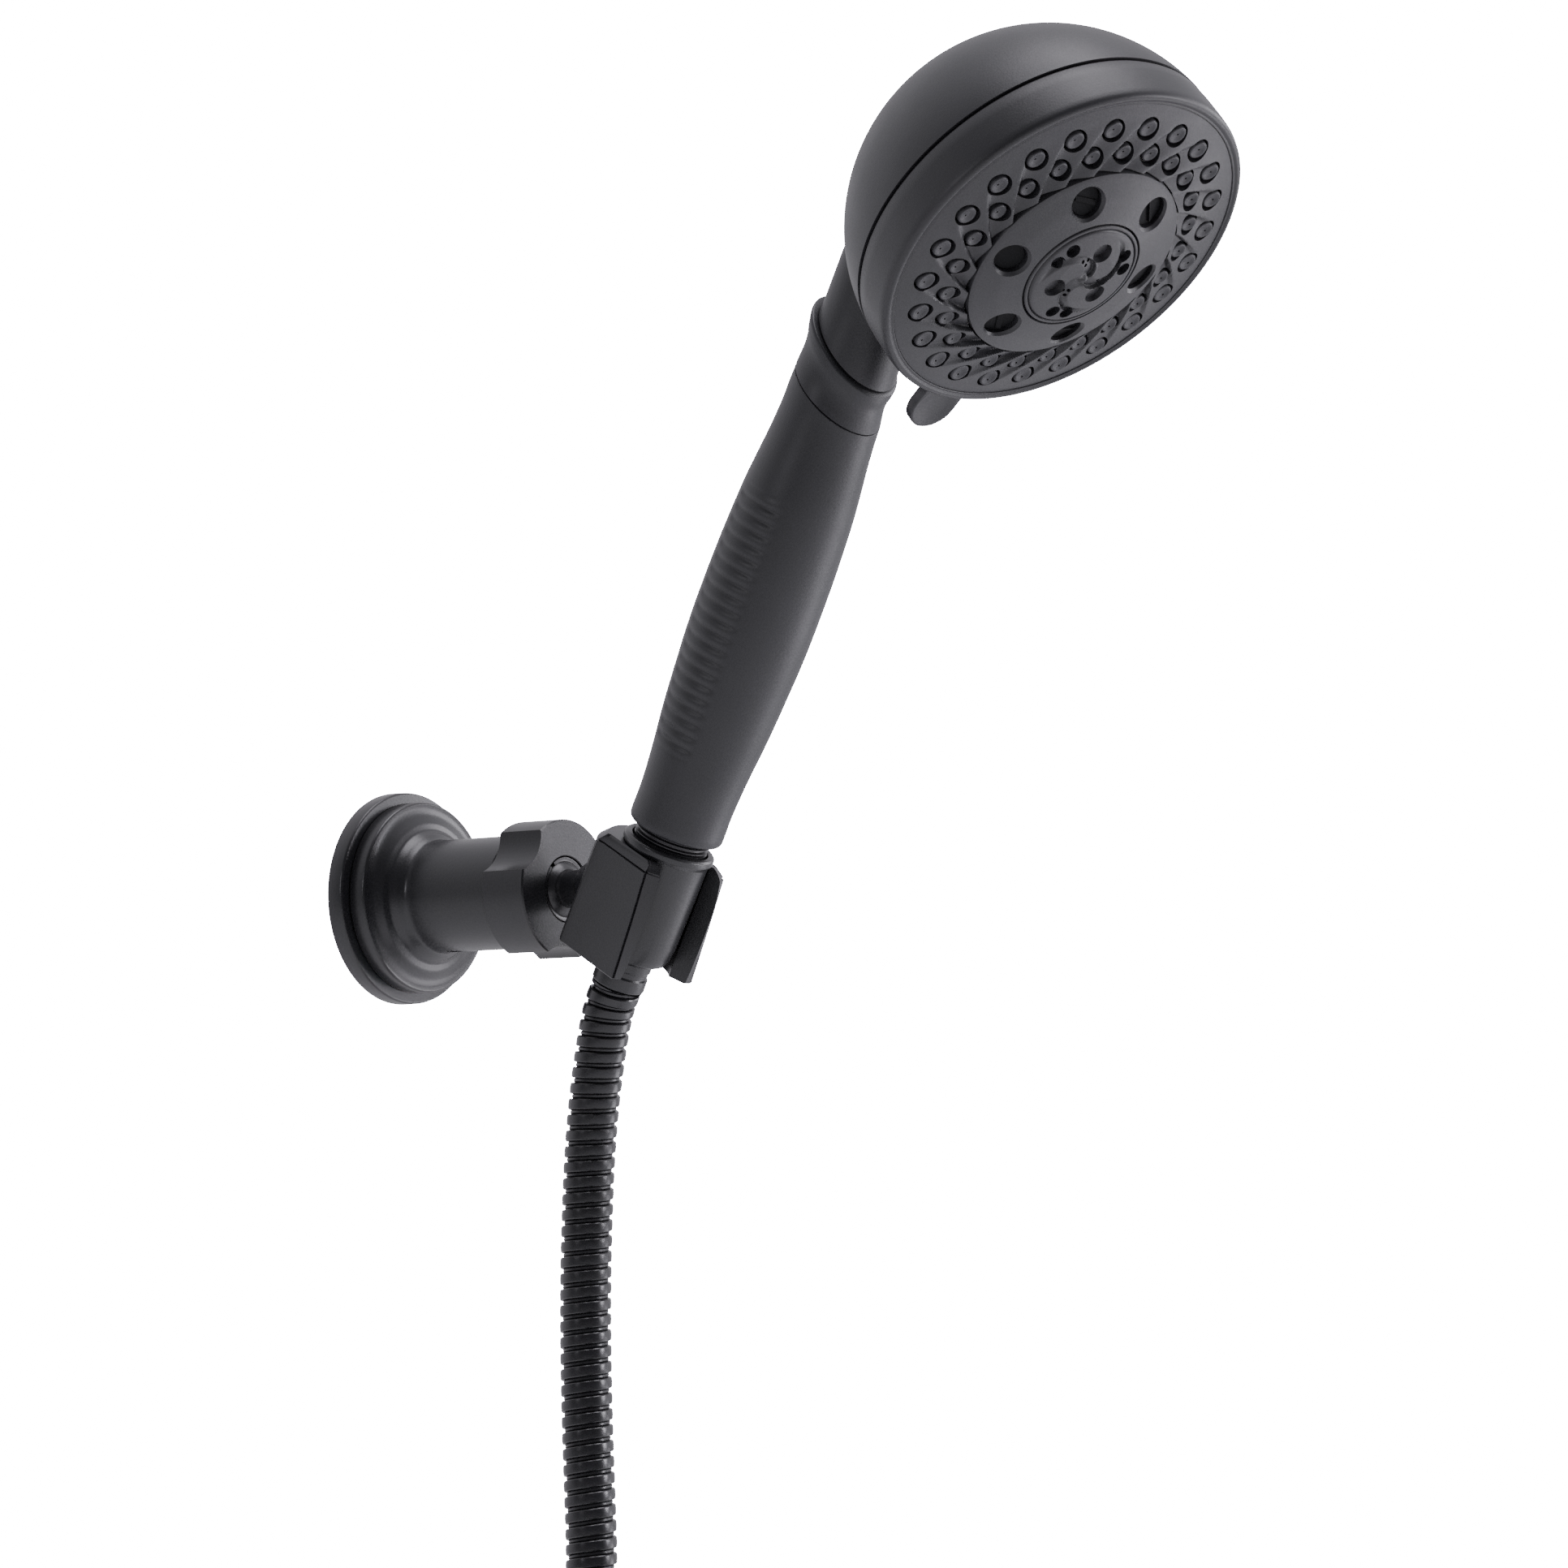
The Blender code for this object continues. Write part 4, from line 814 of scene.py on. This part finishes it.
def build_back_shell():
    """The dome and its neck as one smooth skin with a soft fillet where they meet."""
    handle, head = AT["handle"], AT["head"]
    to_handle, to_head = handle.inverted(), head.inverted()
    middle, nudge = Vector((0.0, 0.0, DOME_CENTRE)), 0.02

    def skin(spot):
        """Signed distance to the joined skin, in millimetres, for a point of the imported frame."""
        dome = ((to_head @ spot) / MM - middle).length - DOME_R
        neck = neck_field((to_handle @ spot) / MM)
        mix = max(FILLET - abs(dome - neck), 0.0) / FILLET
        return min(dome, neck) - mix * mix * FILLET * 0.25

    sphere = arc((0.0, DOME_CENTRE), DOME_R, -6.2, -90.0, 66)
    dome = turned("back_shell_fine", [(0.0, -8.0), (sphere[0][0], -8.0)] + sphere, head, loop=False, steps=132)
    route = [(0.0, 0.0, z) for z in (118.0, 130.0, 136.0, 142.0, 148.0, 154.0, 160.0)]
    route += [(0.0, y, z) for y, z in arc((-GOOSE_R, NECK_TOP), GOOSE_R, 0.0, NECK_BEND, 8)]
    neck = tube("neck_skin", route, [neck_radius(p[2]) for p in route], handle)
    joined(dome, neck, "UNION")
    remesh = dome.modifiers.new("even", "REMESH")
    remesh.mode = "VOXEL"
    remesh.voxel_size = 1.15 * MM
    applied(dome)
    for vertex in dome.data.vertices:
        spot = vertex.co.copy()
        for _ in range(4):
            gap = skin(spot)
            slope = Vector([(skin(spot + axis * nudge * MM) - gap) / nudge for axis in Matrix.Identity(3)])
            if slope.length < 0.3:
                break
            spot -= slope.normalized() * min(max(gap / slope.length, -2.0), 2.0) * MM
        vertex.co = spot
    shape = bmesh.new()
    shape.from_mesh(dome.data)
    foot, facing = slant(UPPER_SEAM + 0.12, UPPER_SLOPE)
    sliced(shape, head @ Vector((0.0, 0.0, (SEAM_PLANE - 0.25) * MM)), head.to_3x3() @ Vector((0, 0, 1)))
    sliced(shape, handle @ (foot * MM), handle.to_3x3() @ -facing)
    bmesh.ops.recalc_face_normals(shape, faces=shape.faces)
    shape.to_mesh(dome.data)
    shape.free()
    wall = dome.modifiers.new("wall", "SOLIDIFY")
    wall.thickness = DOME_WALL * MM
    wall.offset = -1.0
    applied(dome)
    dome.data.materials.clear()
    dome.data.materials.append(PAINT["shell"])
    return stands(shade(dome, 50.0), "handset", "back_shell")


def tube(name, route, radii, where, sides=48):
    """A closed round bar along a flat route, each ring square to it."""
    spots, across, rings = [Vector(p) for p in route], Vector((1.0, 0.0, 0.0)), []
    for i, spot in enumerate(spots):
        up = (spots[min(i + 1, len(spots) - 1)] - spots[max(i - 1, 0)]).normalized().cross(across)
        turns = [2 * math.pi * j / sides for j in range(sides)]
        rings.append([spot + (across * math.cos(a) + up * math.sin(a)) * radii[i] for a in turns])
    return piece(name, *stacked(rings), where)


# ---------------------------------------------------------------- spray head

def build_selector_ring():
    """The rim that carries the face, with the thumb lever that turns it."""
    head = AT["head"]
    back = SEAM_PLANE + 0.2
    outside = [(48.95, -1.6), (48.95, 0.75), (49.15, 0.95), (49.5, 0.62), (49.8, 0.62), (50.1, 0.95), (50.6, 1.0),
               (51.2, 0.72), (51.7, 0.15), (51.95, -0.7), (52.0, -2.0), (52.0, -5.0), (51.9, -9.0),
               (51.6, back + 0.8), (51.2, back + 0.2), (50.7, back), (49.0, back)]
    rim = turned("selector_ring_fine", outside, head, "shell", steps=192, angle=50.0)
    half, tip = 7.0, -64.0
    outline = [(half, -49.6)] + arc((0.0, tip + half), half, 0.0, -180.0, 28) + [(-half, -49.6)]
    tongue = prism("lever", outline, -4.7, -1.6, head, "shell")
    dish = arc((0.0, tip + half), half * 0.66, 0.0, 360.0, 47)
    joined(tongue, gathered("lever_dish", [dish_shape(dish, -2.3, -1.2, 1.55)], head))
    bevelled(tongue, 0.5)
    joined(rim, tongue, "UNION", 45.0)
    return stands(rim, "spray_dial", "selector_ring")


def dish_shape(outline, low, high, grow):
    """A shallow basin cutter that widens upward from an outline."""
    cx = sum(x for x, y in outline) / len(outline)
    cy = sum(y for x, y in outline) / len(outline)
    return stacked([[(x, y, low) for x, y in outline],
                    [(cx + (x - cx) * grow, cy + (y - cy) * grow, high) for x, y in outline]])


# Radius and height of the convex face
FACE_LEVELS = ((0.0, 11.45), (8.0, 11.1), (14.0, 10.25), (16.4, 9.6), (23.5, 7.75), (30.4, 5.35), (35.4, 4.1),
               (42.2, 2.5), (47.0, 1.15), (49.0, 0.6))


def face_level(radius):
    """Height of the convex face at a radius."""
    for (r0, z0), (r1, z1) in zip(FACE_LEVELS, FACE_LEVELS[1:]):
        if radius <= r1:
            break
    return z0 + (z1 - z0) * (radius - r0) / (r1 - r0)


def pocket_depth(radius, angle):
    """How far the face is scooped: a trough by each pair of nozzles, steep on one side, ridged between."""
    pitch = 360.0 / NOZZLES
    inward = (OUTER_RING - radius) / (OUTER_RING - INNER_RING)
    wall = OUTER_PHASE * (1.0 + inward) + 5.2 + 1.4 * max(inward, 0.0) ** 2
    behind = ((wall - angle) % pitch) / pitch
    reach = smooth_step((46.6 - radius) / 6.5)
    deep = 0.55 + 1.05 * smooth_step(inward / 1.5 + 0.1)
    steep = smooth_step(behind / 0.10)
    rise = 1.0 - smooth_step((behind - 0.08) / 0.92)
    return deep * reach * steep * rise


def smooth_step(t):
    t = min(max(t, 0.0), 1.0)
    return t * t * (3 - 2 * t)


def build_spray_face():
    """The ring of the face with its scooped troughs and a clear hole round each nozzle."""
    head = AT["head"]
    steps, rows = 480, 44
    radii = [FACE_IN + (FACE_OUT - FACE_IN) * i / rows for i in range(rows + 1)]
    columns = []
    for a in [360.0 * j / steps for j in range(steps)]:
        column = [(r, face_level(r) - pocket_depth(r, a)) for r in radii]
        column += [(FACE_OUT, -1.3), (47.0, -1.1), (FACE_IN, 3.0)]
        columns.append([(r * math.cos(math.radians(a)), r * math.sin(math.radians(a)), z) for r, z in column])
    made = piece("spray_face_fine", *swept(columns), head, "shell", 32.0)
    holes = [rod(x, y, -4.0, 9.0, 3.3, 3.3, 36) for x, y in ring_spots(NOZZLES, OUTER_RING, OUTER_PHASE)]
    holes += [rod(x, y, -4.0, 9.0, 2.95, 2.95, 36) for x, y in ring_spots(NOZZLES, INNER_RING)]
    joined(made, gathered("nozzle_holes", holes, head), angle=32.0)
    return stands(made, "spray_dial", "spray_face")


def nozzle_shape(x, y, top, radius, sides=28):
    """Points and faces of one soft nozzle: a button with a raised lip round its dished middle."""
    outline = [(0.3, -0.4), (0.6, -0.16), (0.78, 0.04), (0.88, 0.04), (0.96, -0.14), (1.0, -0.45), (1.02, -4.0)]
    rings = [ring_at(x, y, top + rise, radius * share, sides) for share, rise in outline]
    return pointed((x, y, top - 0.45), rings)


def build_nozzles():
    """The silicone mat behind the face, its nozzles standing in the face's holes."""
    head = AT["head"]
    shapes, outlets = [], []
    for radius, phase, size, rise in ((OUTER_RING, OUTER_PHASE, 2.62, 0.15), (INNER_RING, 0.0, 2.32, 0.3)):
        top = face_level(radius) - pocket_depth(radius, phase) + rise
        for x, y in ring_spots(NOZZLES, radius, phase):
            shapes.append(nozzle_shape(x, y, top, size))
            outlets.append(rod(x * 1.012 + 0.25, y * 1.012 - 0.35, top - 1.1, top + 1.0, 0.27, 0.27, 10))
    mat = gathered("nozzle_mat_fine", shapes, head, "silicone", 50.0)
    joined(mat, gathered("nozzle_outlets", outlets, head), angle=50.0)
    # Painted shade: a near-black ring set behind the face, so the gaps round the nozzles look shaded
    bed = turned("nozzle_shade_backing", [(31.4, -1.7), (46.9, -1.7), (46.9, -3.0), (31.4, -3.0)], head, "dark", steps=96)
    stands(mat, "spray_dial", "nozzle_mat")
    stands(bed, "spray_dial")
    return mat


def build_inner_plate():
    """The smooth plate with six countersunk jets, and the jet cups behind them, finished near-black as painted shade
    inside the holes.
    """
    head = AT["head"]
    top = [(16.75, face_level(16.75) - 0.5), (17.0, face_level(17.0))]
    top += [(r, face_level(r) + 0.10 * math.sin(math.pi * (r - 17.0) / 12.8)) for r in
            [17.6 + 12.0 * i / 16 for i in range(17)]]
    top += [(30.15, face_level(30.15) - 0.12), (30.3, face_level(30.3) - 0.6), (30.3, 3.2), (23.5, 5.4),
            (16.75, 7.2)]
    plate = turned("inner_plate_fine", top, head, "shell", steps=192, angle=40.0)
    jets = ring_spots(JETS, JET_RING, JET_PHASE)
    holes = [rod(x, y, 0.0, 12.0, JET_R, JET_R, 48) for x, y in jets]
    joined(plate, gathered("jet_holes", holes, head), angle=40.0)
    sinks = [sloped(rod(x, y, -0.95, 0.4, JET_R, 5.3, 48)) for x, y in jets]
    joined(plate, gathered("jet_sinks", sinks, head), angle=30.0)
    stands(plate, "spray_dial", "inner_plate")
    # Painted shade: the real jet cups take the near-black finish so the jets' holes look shaded inside
    bed = turned("jet_ring_fine", [(17.4, 3.2), (29.6, 2.2), (29.6, 1.4), (19.2, 1.4), (19.2, -3.1), (17.4, -3.1)],
                 head, "dark", steps=96)
    fins = []
    for x, y in jets:
        fins.append(sloped(block((x, y, -2.0), (6.4, 1.2, 0.9), math.degrees(math.atan2(y, x)) + 62.0, 20.0)))
        fins.append(sloped(rod(x, y, -6.0, -2.1, 4.0, 4.0, 40)))
    joined(bed, gathered("jet_fins", fins, head), "UNION")
    stands(bed, "spray_dial", "jet_ring")
    return plate


def sloped(shape):
    """A shape whose heights count from the plate's surface, leaned to follow it near the ring of jets."""
    verts, faces = shape
    fall = (face_level(17.0) - face_level(30.0)) / (30.0 - 17.0)
    level = face_level(JET_RING) + 0.08
    return [(x, y, z + level - fall * (math.hypot(x, y) - JET_RING)) for x, y, z in verts], faces


def swirl_relief(x, y):
    """A generic three-armed swirl raised and sunk on the cap."""
    radius, angle = math.hypot(x, y), math.degrees(math.atan2(y, x))
    if radius < 0.4:
        return 0.25
    trough, ridge, height = 3.6, 0.9, 0.0
    fade = smooth_step((radius - 0.6) / 1.2) * smooth_step((13.6 - radius) / 2.2)
    for k in range(3):
        arm = 120.0 * k + 34.0 + radius * 11.5
        width = math.radians((angle - arm + 180.0) % 360.0 - 180.0) * radius
        if 0.0 <= width < trough:
            height -= 1.15 * fade * smooth_step(width / 0.45) * (1.0 - width / trough) ** 0.8
        elif -ridge < width < 0.0:
            height += 0.2 * fade * smooth_step(1.0 + width / ridge)
    return height


def build_cap():
    """The centre cap: raised swirl, oval outlets in pairs, dimples and fine dots."""
    head = AT["head"]
    steps, rows, edge_level = 240, 56, face_level(CAP_EDGE)
    rings = []
    for r in [CAP_EDGE * i / rows for i in range(1, rows + 1)]:
        level = face_level(r) - 0.7 * max(0.0, 1.0 - abs(r - 15.3) / 0.36)
        rings.append([(x, y, level + swirl_relief(x, y)) for x, y, z in ring_at(0.0, 0.0, 0.0, r, steps)])
    for r, z in ((CAP_EDGE + 0.2, edge_level - 0.2), (CAP_EDGE + 0.25, edge_level - 1.3), (15.0, 7.9)):
        rings.append(ring_at(0.0, 0.0, z, r, steps))
    tip = (0.0, 0.0, face_level(0.0) + swirl_relief(0.0, 0.0))
    cap = piece("centre_cap_fine", *pointed(tip, rings), head, "shell", 50.0)
    cutters = []
    for phase in (24.0, 47.0):
        cutters += [rod(x, y, 8.6, 14.0, 1.8, 2.2, 32) for x, y in ring_spots(3, 12.1, phase)]
    cutters += [rod(x, y, 9.3, 13.0, 2.2, 3.6, 40) for x, y in ring_spots(3, 8.6, 92.0)]
    for phase, reach in ((116.0, 6.0), (132.0, 6.4), (125.0, 4.9)):
        cutters += [rod(x, y, 9.2, 13.0, 0.5, 0.5, 14) for x, y in ring_spots(3, reach, phase)]
    for cutter in cutters:
        joined(cap, gathered("cap_cutter", [cutter], head), angle=45.0)
    return stands(cap, "spray_dial", "centre_cap")


# ---------------------------------------------------------------- the rest

def paint_cad():
    """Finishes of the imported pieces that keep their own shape."""
    slots = {entry["node"]: entry["material_slot"] for entry in frame["record"]["subparts"]}
    for name, node in frame["nodes"].items():
        node.data.materials.clear()
        node.data.materials.append(PAINT[slots[name]])


def main():
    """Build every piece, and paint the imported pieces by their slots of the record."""
    build_stage()
    build_hose_and_ends()
    paint_cad()
    for made in (*build_bracket(), *build_ball_joint(), *build_hose_end()):
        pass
    for made in (build_clip(), build_handle(), build_collar(), build_back_shell(), build_selector_ring(),
                 build_spray_face(), build_inner_plate(), build_cap()):
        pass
    build_nozzles()
    bpy.context.view_layer.update()


main()
